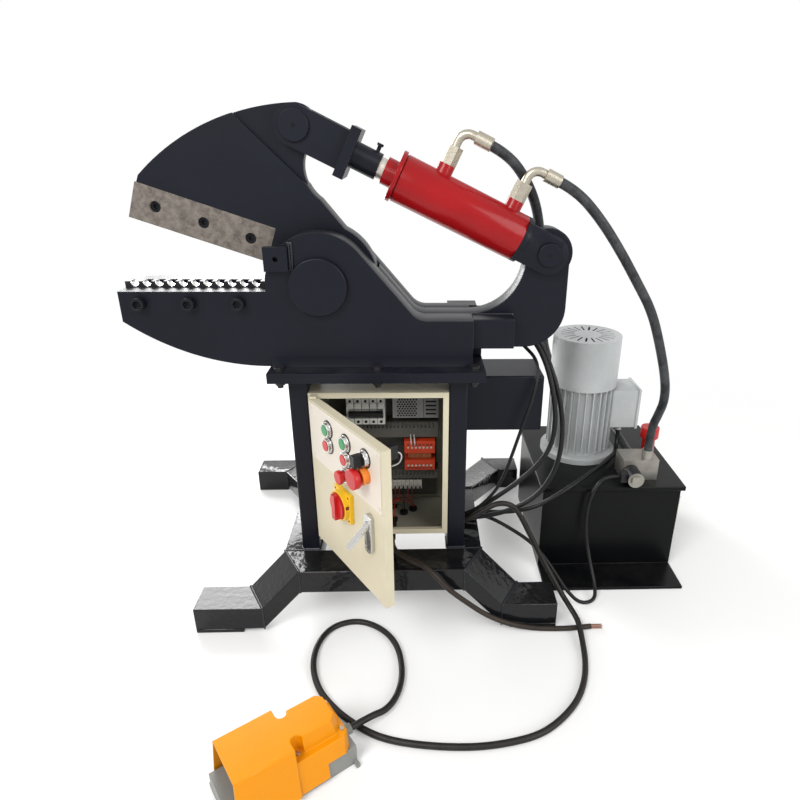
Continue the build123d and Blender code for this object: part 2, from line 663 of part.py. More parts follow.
def moving_jaw_face():
    """Outline of the moving jaw: nose, crown, lobe, throat and hub."""
    pin = (JAW_PIN_X, JAW_PIN_Z)
    lobe_top = polar(pin, JAW_LOBE_RADIUS, 85)
    lobe_end = polar(pin, JAW_LOBE_RADIUS, -35)
    shoulder = polar(PIVOT, JAW_HUB_RADIUS, JAW_SHOULDER_ANGLE)
    lip_along = BLADE_REACH - sqrt(JAW_HUB_RADIUS ** 2 - UPPER_BLADE_LIP ** 2)
    lip_end = blade_point(lip_along, UPPER_BLADE_LIP)
    lip_angle = degrees(atan2(lip_end[1] - PIVOT_Z, lip_end[0] - PIVOT_X)) - 360
    nose_low = blade_point(0, UPPER_BLADE_LIP)
    return make_face([
        Line(nose_low, JAW_NOSE),
        ThreePointArc(JAW_NOSE, JAW_CROWN, lobe_top),
        ThreePointArc(lobe_top, polar(pin, JAW_LOBE_RADIUS, 25), lobe_end),
        ThreePointArc(lobe_end, JAW_THROAT, JAW_THROAT_END),
        Line(JAW_THROAT_END, shoulder),
        ThreePointArc(
            shoulder, polar(PIVOT, JAW_HUB_RADIUS, (JAW_SHOULDER_ANGLE + lip_angle) / 2), lip_end),
        Line(lip_end, nose_low)])


def moving_jaw():
    """Moving jaw with its blade, blade bolts and the pin for the cylinder rod."""
    front = JAW_MID_Y - JAW_THICKNESS / 2
    rear = JAW_MID_Y + JAW_THICKNESS / 2
    jaw = slab(moving_jaw_face(), front, rear)

    run = (STEP_END[0] - STEP_START[0], STEP_END[1] - STEP_START[1])
    length = hypot(*run)
    along = (run[0] / length, run[1] / length)
    out = (-along[1], along[0])
    depth = 4 * JAW_LOBE_RADIUS
    start = (STEP_START[0] - length * along[0], STEP_START[1] - length * along[1])
    end = (STEP_END[0] + 10 * along[0], STEP_END[1] + 10 * along[1])
    recess = Polygon(
        start, end, (end[0] + depth * out[0], end[1] + depth * out[1]),
        (start[0] + depth * out[0], start[1] + depth * out[1]), align=None)
    jaw -= slab(recess, front - 1, JAW_MID_Y - JAW_THIN_HALF)
    jaw -= slab(recess, JAW_MID_Y + JAW_THIN_HALF, rear + 1)

    seat = Polygon(
        blade_point(-20, -20), blade_point(UPPER_BLADE_LENGTH, -20),
        blade_point(UPPER_BLADE_LENGTH, BLADE_HEIGHT), blade_point(-20, BLADE_HEIGHT), align=None)
    jaw -= slab(seat, front - 1, front + BLADE_THICKNESS)
    jaw -= crosswise(*PIVOT, front - 1, rear + 1, PIVOT_RADIUS + RUNNING_GAP)
    jaw -= crosswise(JAW_PIN_X, JAW_PIN_Z, front - 1, rear + 1, JAW_PIN_RADIUS)

    blade = slab(Polygon(
        blade_point(0, 0), blade_point(UPPER_BLADE_LENGTH, 0),
        blade_point(UPPER_BLADE_LENGTH, BLADE_HEIGHT), blade_point(0, BLADE_HEIGHT),
        align=None), front, front + BLADE_THICKNESS)
    head_seat = front + UPPER_BOLT_SUNK + UPPER_BOLT_HEAD_LENGTH
    bolt_end = front + BLADE_THICKNESS + UPPER_BOLT_GRIP
    bolts = []
    for index in range(3):
        x, z = blade_point(UPPER_BOLT_FIRST + index * UPPER_BOLT_PITCH, UPPER_BOLT_HEIGHT)
        blade -= crosswise(x, z, front - 1, head_seat, UPPER_BOLT_HEAD + BOLT_HOLE_GAP)
        blade -= crosswise(x, z, front - 1, front + BLADE_THICKNESS + 1, UPPER_BOLT_RADIUS + BLADE_BOLT_GAP)
        jaw -= crosswise(x, z, front, bolt_end + 1, UPPER_BOLT_RADIUS + BLADE_BOLT_GAP)
        bolt = joined([
            crosswise(x, z, front + UPPER_BOLT_SUNK, head_seat, UPPER_BOLT_HEAD),
            crosswise(x, z, head_seat, bolt_end, UPPER_BOLT_RADIUS)])
        socket_end = front + UPPER_BOLT_SUNK + UPPER_BOLT_HEAD_LENGTH / 2
        socket = hexagon(UPPER_BOLT_HEAD, UPPER_BOLT_HEAD_LENGTH)
        bolts.append(bolt - Pos(x, socket_end, z) * Rot(90, 0, 0) * socket)

    ear_out = CLEVIS_INNER + CLEVIS_EAR + PIN_HEAD_GAP
    pin = crosswise(JAW_PIN_X, JAW_PIN_Z, JAW_MID_Y - ear_out, JAW_MID_Y + ear_out, JAW_PIN_RADIUS)
    for side in (-1, 1):
        near = JAW_MID_Y + side * ear_out
        far = near + side * JAW_PIN_HEAD_LENGTH
        pin += crosswise(JAW_PIN_X, JAW_PIN_Z, min(near, far), max(near, far), JAW_PIN_HEAD)
    return {"upper_jaw": jaw, "upper_blade": blade, "upper_blade_bolts": group(bolts), "jaw_pin": pin}


PIN_SPAN = hypot(ARM_EYE_X - JAW_PIN_X, ARM_EYE_Z - JAW_PIN_Z)
AXIS_X = (ARM_EYE_X - JAW_PIN_X) / PIN_SPAN
AXIS_Z = (ARM_EYE_Z - JAW_PIN_Z) / PIN_SPAN
CYLINDER = Plane(
    origin=(JAW_PIN_X, JAW_MID_Y, JAW_PIN_Z), x_dir=(-AXIS_Z, 0, AXIS_X), z_dir=(AXIS_X, 0, AXIS_Z))


def on_cylinder(along, rise, aside=0.0):
    """A point by its distance along the cylinder axis, its height over it and its distance behind it."""
    return (
        JAW_PIN_X + along * AXIS_X - rise * AXIS_Z,
        JAW_MID_Y + aside,
        JAW_PIN_Z + along * AXIS_Z + rise * AXIS_X)


def ears(inner, thickness, half_height, eye, root):
    """Two ears with a round end about an eye, reaching along the axis to their root."""
    pieces = []
    for side in (-1, 1):
        near = side * inner
        far = side * (inner + thickness)
        bar = block((-half_height, half_height), (near, far), sorted((eye, root)))
        round_end = Pos(0, (near + far) / 2, eye) * Rot(90, 0, 0) * Cylinder(half_height, thickness)
        pieces.append(bar + round_end)
    return pieces


def eye_hole(eye, radius):
    """A long cylinder across the axis, to bore both ears."""
    return Pos(0, 0, eye) * Rot(90, 0, 0) * Cylinder(radius, 4 * CLEVIS_RADIUS)


def set_screw():
    """Screw that locks the clevis sleeve on the rod, with its head standing proud."""
    top = SLEEVE_RADIUS + SET_SCREW_PROUD
    head_start = top - SET_SCREW_PROUD / 3
    stem = upright(0, 0, (SLEEVE_RADIUS + ROD_RADIUS) / 2, head_start, SET_SCREW_RADIUS)
    head = upright(0, 0, head_start, top, SET_SCREW_HEAD)
    return Pos(0, 0, SLEEVE_END - 2 * SET_SCREW_HEAD) * Rot(0, 90, 0) * (stem + head)


def cylinder():
    """Barrel, head, fork and fittings, with the rod and clevis that slide in them."""
    square = FLANGE_SQUARE / 2
    clevis = joined([
        block((-square, square), (-square, square), (FLANGE_START, FLANGE_END)),
        *ears(CLEVIS_INNER, CLEVIS_EAR, CLEVIS_RADIUS, 0, FLANGE_START),
        upright(0, 0, FLANGE_END, SLEEVE_END, SLEEVE_RADIUS),
        set_screw()])
    clevis -= eye_hole(0, JAW_PIN_RADIUS + CLEVIS_SLACK)
    clevis -= upright(0, 0, FLANGE_END, SLEEVE_END + 1, ROD_RADIUS)

    rod = joined([
        upright(0, 0, FLANGE_END, PISTON_START + PISTON_LENGTH, ROD_RADIUS),
        upright(0, 0, PISTON_START, PISTON_START + PISTON_LENGTH, BARREL_BORE - PISTON_GAP)])

    barrel_start = HEAD_END + GROOVE_LINE
    head = joined([
        upright(0, 0, NECK_START, HEAD_START, NECK_RADIUS),
        upright(0, 0, HEAD_START, HEAD_END, BARREL_RADIUS + HEAD_RIM),
        upright(0, 0, HEAD_END, barrel_start, BARREL_RADIUS - GROOVE_LINE),
        upright(0, 0, barrel_start, barrel_start + BARREL_CAP, BARREL_BORE)])
    head -= upright(0, 0, NECK_START - 1, barrel_start + BARREL_CAP + 1, ROD_RADIUS + RUNNING_GAP)

    barrel = upright(0, 0, barrel_start, BARREL_END, BARREL_RADIUS)
    fittings = []
    bend = FilletPolyline(
        (PORT_NUT_TOP - ELBOW_SEAT, 0, 0), (ELBOW_RISE, 0, 0), (ELBOW_RISE, 0, FERRULE_START + ELBOW_SEAT),
        radius=ELBOW_BEND)
    fitting = joined([
        Pos(PORT_BOSS_TOP, 0, 0) * Rot(0, 90, 0) * hexagon(PORT_NUT_FLATS, PORT_NUT_TOP - PORT_BOSS_TOP),
        sweep(Plane(origin=bend @ 0, z_dir=bend % 0) * Circle(ELBOW_TUBE), path=bend),
        upright(ELBOW_RISE, 0, FERRULE_START, FERRULE_END, FERRULE_RADIUS)])
    for port, turn in zip(PORT_AT, PORT_TURN):
        boss = Cylinder(PORT_BOSS_RADIUS, PORT_BOSS_TOP)
        barrel += Pos(PORT_BOSS_TOP / 2, 0, port) * Rot(0, 90, 0) * boss
        fittings.append(Pos(0, 0, port) * Rot(-turn, 0, 0) * fitting)
    barrel -= upright(0, 0, barrel_start - 1, BARREL_END - BARREL_CAP, BARREL_BORE)

    plate_end = BARREL_END + FORK_PLATE
    fork = joined([
        upright(0, 0, BARREL_END, plate_end, BARREL_RADIUS),
        *ears(FORK_INNER, FORK_EAR, FORK_RADIUS, PIN_SPAN, BARREL_END)])
    fork -= eye_hole(PIN_SPAN, ARM_PIN_RADIUS + RUNNING_GAP)
    return {
        "cylinder_barrel": CYLINDER * barrel,
        "cylinder_head": CYLINDER * head,
        "cylinder_fork": CYLINDER * fork,
        "port_fittings": group([CYLINDER * fitting for fitting in fittings]),
        "piston_rod": CYLINDER * rod,
        "rod_clevis": CYLINDER * clevis,
    }


# Cabinet interior, each device as limits on x, front y and z
BREAKER_X = (-79.0, 7.0)
BREAKER_FRONT = -192.0
BREAKER_Z = (447.0, 510.0)
TOGGLE_Z = 473.0
TOGGLE_HEIGHT = 12.0
TOGGLE_PROUD = 7.0
TOGGLE_RADIUS = 4.0
TOGGLE_END_GAP = 4.0
SUPPLY_UNIT_X = (24.0, 128.0)
SUPPLY_UNIT_FRONT = -180.0
SUPPLY_UNIT_Z = (457.0, 515.0)
SUPPLY_UNIT_SPLIT = 95.0
DUCT_X = (-110.0, 128.0)
DUCT_FRONT = -168.0
DUCT_UPPER_Z = (402.0, 440.0)
DUCT_LOWER_Z = (292.0, 316.0)
DUCT_SLOT = 4.0
DUCT_SLOT_PITCH = 9.0
DUCT_SLOT_HEIGHT = 14.0
TRANSFORMER_X = (49.0, 121.0)
TRANSFORMER_CORE_FRONT = -160.0
TRANSFORMER_COIL_FRONT = -170.0
TRANSFORMER_ROW_FRONT = -178.0
TRANSFORMER_Z = (320.0, 346.0, 364.0, 396.0)
STRIP_X = (-60.0, 90.0)
STRIP_FRONT = -165.0
STRIP_Z = (262.0, 286.0)
STRIP_WAYS = 15
STANDOFF_RADIUS = 6.0
STANDOFF_INSET = 14.0
JUNCTION_X = (150.0, 215.0)
JUNCTION_DEPTH = 45.0
JUNCTION_Z = (PLATE_BOTTOM + 26.0, PLATE_BOTTOM + 88.0)
JUNCTION_GLAND_Z = (PLATE_BOTTOM + 40.0, PLATE_BOTTOM + 57.0, PLATE_BOTTOM + 74.0)
GLAND_RADIUS = 7.5
GLAND_RIM = 10.0
GLAND_DROP = 20.0
GLAND_REACH = 22.0

# Cable glands in the cabinet floor: x and y of each, in the lane of its cable
GLAND_PEDAL = (22.0, -219.0)
GLAND_SIGNAL = (-10.0, -204.0)
GLAND_POWER_A = (46.0, -189.0)
GLAND_POWER_B = (68.0, -174.0)
GLAND_MOTOR = (20.0, -160.0)
GLAND_VALVE = (-10.0, -146.0)
GLAND_SUPPLY = (20.0, -240.0)
LANE_GLANDS = (GLAND_PEDAL, GLAND_SIGNAL, GLAND_POWER_A, GLAND_POWER_B, GLAND_MOTOR, GLAND_VALVE)
GLAND_EXIT_Z = CABINET_Z[0] - GLAND_DROP


def elbow_gland(place, turn):
    """An elbow gland under the cabinet floor, its rim above the floor and its outlet turned about Z."""
    x, y = place
    floor = CABINET_Z[0] + CABINET_WALL
    return joined([
        upright(x, y, floor, floor + GLAND_FLANGE, GLAND_RIM),
        upright(x, y, GLAND_EXIT_Z, floor, GLAND_RADIUS),
        Pos(x, y, GLAND_EXIT_Z) * Sphere(GLAND_RADIUS),
        Pos(x, y, GLAND_EXIT_Z) * Rot(0, 0, turn) * Pos(GLAND_REACH / 2, 0, 0) * Rot(0, 90, 0)
        * Cylinder(GLAND_RADIUS, GLAND_REACH)])


def cabinet():
    """Cabinet shell with hinge pins, and the devices on its mounting plate."""
    x = (-CABINET_HALF_X, CABINET_HALF_X)
    z0, z1 = CABINET_Z
    wall = CABINET_WALL
    inset = CABINET_LIP
    shell = block(x, (CABINET_FRONT, CABINET_REAR), CABINET_Z)
    shell -= block(
        (x[0] + wall, x[1] - wall), (CABINET_FRONT + wall, CABINET_REAR - wall), (z0 + wall, z1 - wall))
    opening_x = (x[0] + inset, x[1] - inset)
    opening_z = (z0 + inset, z1 - inset)
    frame = block(
        (opening_x[0] - wall, opening_x[1] + wall), (CABINET_FRONT, CABINET_FRONT + CABINET_RETURN),
        (opening_z[0] - wall, opening_z[1] + wall))
    shell += frame
    shell -= block(opening_x, (CABINET_FRONT - 1, CABINET_FRONT + CABINET_RETURN + 1), opening_z)
    for place in LANE_GLANDS + (GLAND_SUPPLY,):
        shell -= upright(*place, z0 - 1, z0 + wall + 1, GLAND_RADIUS)
    ear_x = (DOOR_HINGE_X - HINGE_EAR, DOOR_HINGE_X + HINGE_EAR)
    ear_y = (DOOR_HINGE_Y - HINGE_EAR, CABINET_FRONT)
    pin_depth = DOOR_SHEET + 4
    for face, side in ((DOOR_Z[1], 1), (DOOR_Z[0], -1)):
        low = face + side
        high = low + side * HINGE_EAR_THICKNESS
        shell += block(ear_x, ear_y, sorted((low, high)))
        pin_end = face - side * pin_depth
        shell += upright(
            DOOR_HINGE_X, DOOR_HINGE_Y, min(pin_end, high), max(pin_end, high), HINGE_PIN_RADIUS)

    plate = block((-PLATE_HALF_X, PLATE_HALF_X), (PLATE_Y, PLATE_Y + PLATE_SHEET), PLATE_Z)
    for px in (-PLATE_HALF_X + STANDOFF_INSET, PLATE_HALF_X - STANDOFF_INSET):
        for pz in (PLATE_Z[0] + STANDOFF_INSET, PLATE_Z[1] - STANDOFF_INSET):
            plate += crosswise(px, pz, PLATE_Y + PLATE_SHEET, CABINET_REAR - wall, STANDOFF_RADIUS)

    ducts = []
    for limits in (DUCT_UPPER_Z, DUCT_LOWER_Z):
        duct = block(DUCT_X, (DUCT_FRONT, PLATE_Y), limits)
        slot = DUCT_X[0] + DUCT_SLOT_PITCH
        while slot < DUCT_X[1] - DUCT_SLOT_PITCH:
            duct -= block((slot, slot + DUCT_SLOT), (DUCT_FRONT - 1, DUCT_FRONT + DUCT_SLOT),
                          (limits[1] - DUCT_SLOT_HEIGHT, limits[1] + 1))
            slot += DUCT_SLOT_PITCH
        ducts.append(duct)

    breaker = block(BREAKER_X, (BREAKER_FRONT, PLATE_Y), BREAKER_Z)
    toggle_x = (BREAKER_X[0] + TOGGLE_END_GAP, BREAKER_X[1] - TOGGLE_END_GAP)
    pocket = TOGGLE_HEIGHT
    breaker -= block(
        toggle_x, (BREAKER_FRONT - 1, BREAKER_FRONT + pocket), (TOGGLE_Z - pocket, TOGGLE_Z + pocket))
    toggle_y = BREAKER_FRONT + TOGGLE_RADIUS + 2
    axle = (toggle_x[0] - TOGGLE_END_GAP / 2, toggle_x[1] + TOGGLE_END_GAP / 2)
    middle = (axle[0] + axle[1]) / 2
    axle_hole = TOGGLE_RADIUS / 2 + RUNNING_GAP
    breaker -= Pos(middle, toggle_y, TOGGLE_Z) * Rot(0, 90, 0) * Cylinder(axle_hole, axle[1] - axle[0])
    side_gap = PIN_HEAD_GAP
    body_x = (toggle_x[0] + side_gap, toggle_x[1] - side_gap)
    toggle = joined([
        Pos(middle, toggle_y, TOGGLE_Z) * Rot(0, 90, 0) * Cylinder(TOGGLE_RADIUS, body_x[1] - body_x[0]),
        Pos(middle, toggle_y, TOGGLE_Z) * Rot(0, 90, 0)
        * Cylinder(TOGGLE_RADIUS / 2, axle[1] - axle[0] - side_gap),
        block(body_x, (BREAKER_FRONT - TOGGLE_PROUD, toggle_y),
              (TOGGLE_Z - TOGGLE_RADIUS, TOGGLE_Z + TOGGLE_RADIUS))])

    unit = block((SUPPLY_UNIT_X[0], SUPPLY_UNIT_SPLIT - 1), (SUPPLY_UNIT_FRONT, PLATE_Y), SUPPLY_UNIT_Z)
    relay = block((SUPPLY_UNIT_SPLIT, SUPPLY_UNIT_X[1]), (SUPPLY_UNIT_FRONT, PLATE_Y), SUPPLY_UNIT_Z)

    low, coil_low, coil_high, high = TRANSFORMER_Z
    transformer = [
        block(TRANSFORMER_X, (TRANSFORMER_ROW_FRONT, PLATE_Y), (low, coil_low)),
        block(TRANSFORMER_X, (TRANSFORMER_ROW_FRONT, PLATE_Y), (coil_high, high)),
        block(
            (TRANSFORMER_X[0] + 8, TRANSFORMER_X[1] - 8), (TRANSFORMER_COIL_FRONT, PLATE_Y),
            (coil_low, coil_high))]

    strip = block(STRIP_X, (STRIP_FRONT, PLATE_Y), STRIP_Z)
    way = (STRIP_X[1] - STRIP_X[0]) / STRIP_WAYS
    for index in range(STRIP_WAYS):
        centre = STRIP_X[0] + (index + 0.5) * way
        strip -= block(
            (centre - way / 4, centre + way / 4), (STRIP_FRONT - 1, STRIP_FRONT + way),
            (STRIP_Z[0] - 1, STRIP_Z[0] + way))

    junction_y = (REAR_FACE, REAR_FACE + JUNCTION_DEPTH)
    junction = [block(JUNCTION_X, junction_y, JUNCTION_Z)]
    gland_y = (junction_y[0] + junction_y[1]) / 2
    for gland_z in JUNCTION_GLAND_Z:
        junction.append(
            Pos(JUNCTION_X[1] + GLAND_REACH / 2, gland_y, gland_z) * Rot(0, 90, 0)
            * Cylinder(GLAND_RADIUS, GLAND_REACH))
    return {
        "cabinet_shell": shell,
        "mounting_plate": plate,
        "wiring_ducts": group(ducts),
        "circuit_breakers": breaker,
        "breaker_toggle": toggle,
        "power_supply": group([unit, relay]),
        "transformer": group(transformer),
        "terminal_strip": strip,
        "cable_glands": group(
            [elbow_gland(place, 0) for place in LANE_GLANDS] + [elbow_gland(GLAND_SUPPLY, -90)]),
        "junction_box": joined(junction),
    }


DOOR = Location((DOOR_HINGE_X, DOOR_HINGE_Y, 0), (0, 0, -DOOR_OPEN_ANGLE))
DOOR_FACE = -DOOR_THICKNESS / 2
PANEL_FACE = DOOR_FACE - PANEL_SHEET


def outward(u, z, face, near, far, radius):
    """A cylinder square to the door, between two distances out from one of its faces."""
    return crosswise(u, z, face - far, face - near, radius)


def bezel(u, z, ring_radius, ring_proud):
    """Fixed part of a push button: base ring, front ring, neck and switch body."""
    bore = BUTTON_RADIUS + BUTTON_GAP
    body_near = PANEL_FACE + PANEL_SHEET + DOOR_SHEET
    part = joined([
        outward(u, z, PANEL_FACE, 0, BEZEL_RING, BEZEL_BASE_RADIUS),
        outward(u, z, PANEL_FACE, 0, ring_proud, ring_radius),
        crosswise(u, z, PANEL_FACE, body_near, BUTTON_RADIUS),
        block((u - BUTTON_BODY_HALF, u + BUTTON_BODY_HALF), (body_near, body_near + BUTTON_BODY_DEPTH),
              (z - BUTTON_BODY_HALF, z + BUTTON_BODY_HALF))])
    part -= outward(u, z, PANEL_FACE, BEZEL_RING, ring_proud + 1, bore)
    stem_bore = BUTTON_STEM_RADIUS + BUTTON_GAP
    part -= crosswise(u, z, PANEL_FACE - ring_proud, body_near + BUTTON_BODY_DEPTH / 2, stem_bore)
    return part


def button(u, z, near, far, radius):
    """Moving part of a push button: its head and its stem."""
    stem_end = PANEL_FACE + PANEL_SHEET + DOOR_SHEET + BUTTON_BODY_DEPTH / 4
    return joined([
        outward(u, z, PANEL_FACE, near, far, radius),
        crosswise(u, z, PANEL_FACE - near, stem_end, BUTTON_STEM_RADIUS)])


def door():
    """Door with its control panel, buttons, selector, isolator and swing handle."""
    sheet = DOOR_SHEET
    leaf = block((DOOR_START, DOOR_END), (DOOR_FACE, -DOOR_FACE), DOOR_Z)
    leaf -= block((DOOR_START + sheet, DOOR_END - sheet), (DOOR_FACE + sheet, -DOOR_FACE + 1),
                  (DOOR_Z[0] + sheet, DOOR_Z[1] - sheet))
    leaf -= upright(0, 0, DOOR_Z[0] - 1, DOOR_Z[1] + 1, HINGE_PIN_RADIUS + RUNNING_GAP)

    panel = block((DOOR_START + PANEL_EDGE, DOOR_END - PANEL_EDGE), (PANEL_FACE, DOOR_FACE), PANEL_Z)
    for u in (DOOR_START + PANEL_EDGE + PANEL_SCREW_INSET, DOOR_END - PANEL_EDGE - PANEL_SCREW_INSET):
        for z in (PANEL_Z[0] + PANEL_SCREW_INSET, PANEL_Z[1] - PANEL_SCREW_INSET):
            panel += outward(u, z, PANEL_FACE, 0, PANEL_SCREW_PROUD, PANEL_SCREW_RADIUS)

    first, second, third = BUTTON_COLUMNS
    top, middle, low = BUTTON_ROWS
    plain = [(first, top), (second, top), (third, top), (first, middle), (second, middle), (second, low)]
    for u, z in plain + [(third, middle)]:
        hole = crosswise(u, z, PANEL_FACE - 1, DOOR_FACE + sheet + 1, BUTTON_RADIUS)
        leaf -= hole
        panel -= hole
    bezels = [bezel(u, z, BEZEL_RADIUS, BEZEL_PROUD) for u, z in plain]
    stop_bezel = bezel(third, middle, STOP_COLLAR_RADIUS, STOP_COLLAR)

    cap_near = BEZEL_RING + BUTTON_TRAVEL + BUTTON_GAP
    cap_far = BEZEL_PROUD + BUTTON_PROUD
    knob = joined([
        button(third, top, cap_near, cap_far, BUTTON_RADIUS),
        block(
            (third - KNOB_WIDTH / 2, third + KNOB_WIDTH / 2),
            (PANEL_FACE - cap_far - KNOB_PROUD, PANEL_FACE - cap_far),
            (top - KNOB_LENGTH / 2, top + KNOB_LENGTH / 2))])
    stop = joined([
        button(third, middle, cap_near, STOP_START, BUTTON_RADIUS),
        outward(third, middle, PANEL_FACE, STOP_START, STOP_START + STOP_HEAD, STOP_RADIUS)])
    reset = joined([
        button(second, low, cap_near, RESET_START, BUTTON_RADIUS),
        outward(second, low, PANEL_FACE, RESET_START, RESET_START + RESET_HEAD, RESET_RADIUS)])

    half = ISOLATOR_SIZE / 2
    base = block((ISOLATOR_U - half, ISOLATOR_U + half), (DOOR_FACE - ISOLATOR_THICKNESS, DOOR_FACE),
                 (ISOLATOR_Z - half, ISOLATOR_Z + half))
    spindle = BUTTON_STEM_RADIUS
    base -= outward(
        ISOLATOR_U, ISOLATOR_Z, DOOR_FACE, ISOLATOR_GAP, ISOLATOR_THICKNESS + 1, spindle + RUNNING_GAP)
    handle_near = ISOLATOR_THICKNESS + ISOLATOR_GAP
    handle_far = handle_near + ISOLATOR_HANDLE
    grip = ISOLATOR_GRIP_WIDTH / 2
    handle = joined([
        outward(ISOLATOR_U, ISOLATOR_Z, DOOR_FACE, handle_near, handle_far, ISOLATOR_HANDLE_RADIUS),
        outward(ISOLATOR_U, ISOLATOR_Z, DOOR_FACE, 2 * ISOLATOR_GAP, handle_near, spindle),
        block(
            (ISOLATOR_U - grip, ISOLATOR_U + grip),
            (DOOR_FACE - handle_far - ISOLATOR_GRIP, DOOR_FACE - handle_far),
            (ISOLATOR_Z - ISOLATOR_HANDLE_RADIUS, ISOLATOR_Z + ISOLATOR_HANDLE_RADIUS))])

    wide = LOCK_WIDTH / 2
    housing = block(
        (LOCK_U - wide, LOCK_U + wide), (DOOR_FACE - LOCK_DEPTH, DOOR_FACE),
        (LOCK_Z[0] + wide, LOCK_Z[1] - wide))
    for z in (LOCK_Z[0] + wide, LOCK_Z[1] - wide):
        housing += outward(LOCK_U, z, DOOR_FACE, 0, LOCK_DEPTH, wide)
    slot = LEVER_WIDTH / 2 + PIN_HEAD_GAP
    pivot_z = LOCK_Z[1] - LEVER_PIVOT_DROP
    pivot_y = DOOR_FACE - LOCK_DEPTH / 2
    lever_half = LEVER_THICKNESS / 2
    floor_gap = LOCK_DEPTH / 2 - lever_half - PIN_HEAD_GAP
    housing -= block((LOCK_U - slot, LOCK_U + slot), (DOOR_FACE - LOCK_DEPTH - 1, DOOR_FACE - floor_gap),
                     (pivot_z - LEVER_LENGTH - PIN_HEAD_GAP, pivot_z + 2 * lever_half))
    pin_half = wide - LOCK_WALL / 2
    cross = Pos(LOCK_U, pivot_y, pivot_z) * Rot(0, 90, 0)
    housing -= cross * Cylinder(LEVER_PIN_RADIUS + RUNNING_GAP, 2 * pin_half)
    lever = joined([
        block((-LEVER_WIDTH / 2, LEVER_WIDTH / 2), (-lever_half, lever_half), (-LEVER_LENGTH, 0)),
        Rot(0, 90, 0) * Cylinder(lever_half, LEVER_WIDTH),
        Rot(0, 90, 0) * Cylinder(LEVER_PIN_RADIUS, 2 * pin_half - 2 * PIN_HEAD_GAP)])
    lever = Pos(LOCK_U, pivot_y, pivot_z) * Rot(-LEVER_SWING, 0, 0) * lever

    pieces = {
        "door_panel": leaf,
        "control_plate": panel,
        "green_button_left": button(first, top, cap_near, cap_far, BUTTON_RADIUS),
        "green_button_middle": button(second, top, cap_near, cap_far, BUTTON_RADIUS),
        "red_button_left": button(first, middle, cap_near, cap_far, BUTTON_RADIUS),
        "red_button_middle": button(second, middle, cap_near, cap_far, BUTTON_RADIUS),
        "selector_knob": knob,
        "stop_mushroom": stop,
        "reset_mushroom": reset,
        "stop_collar": stop_bezel,
        "isolator_plate": base,
        "isolator_handle": handle,
        "lock_housing": housing,
        "lock_lever": lever,
    }
    placed = {name: DOOR * piece for name, piece in pieces.items()}
    placed["button_bezels"] = group([DOOR * piece for piece in bezels])
    return placed


LID_TOP = TANK_TOP + LID_SHEET
VALVE_COIL_X = 620.0
VALVE_COIL_Z = 268.0
VALVE_PLUG = (586.0, 602.0)
VALVE_PLUG_HALF = 12.0
VALVE_PLUG_Y = MANIFOLD_Y[0] - COIL_LENGTH / 2
HOSE_STUB_RADIUS = 13.0
HOSE_STUB = 24.0
HOSE_TOP_PORT = (662.0, -90.0)
HOSE_REAR_PORT = (645.0, 274.0)
MOTOR_GLAND = (628.0, 48.0)


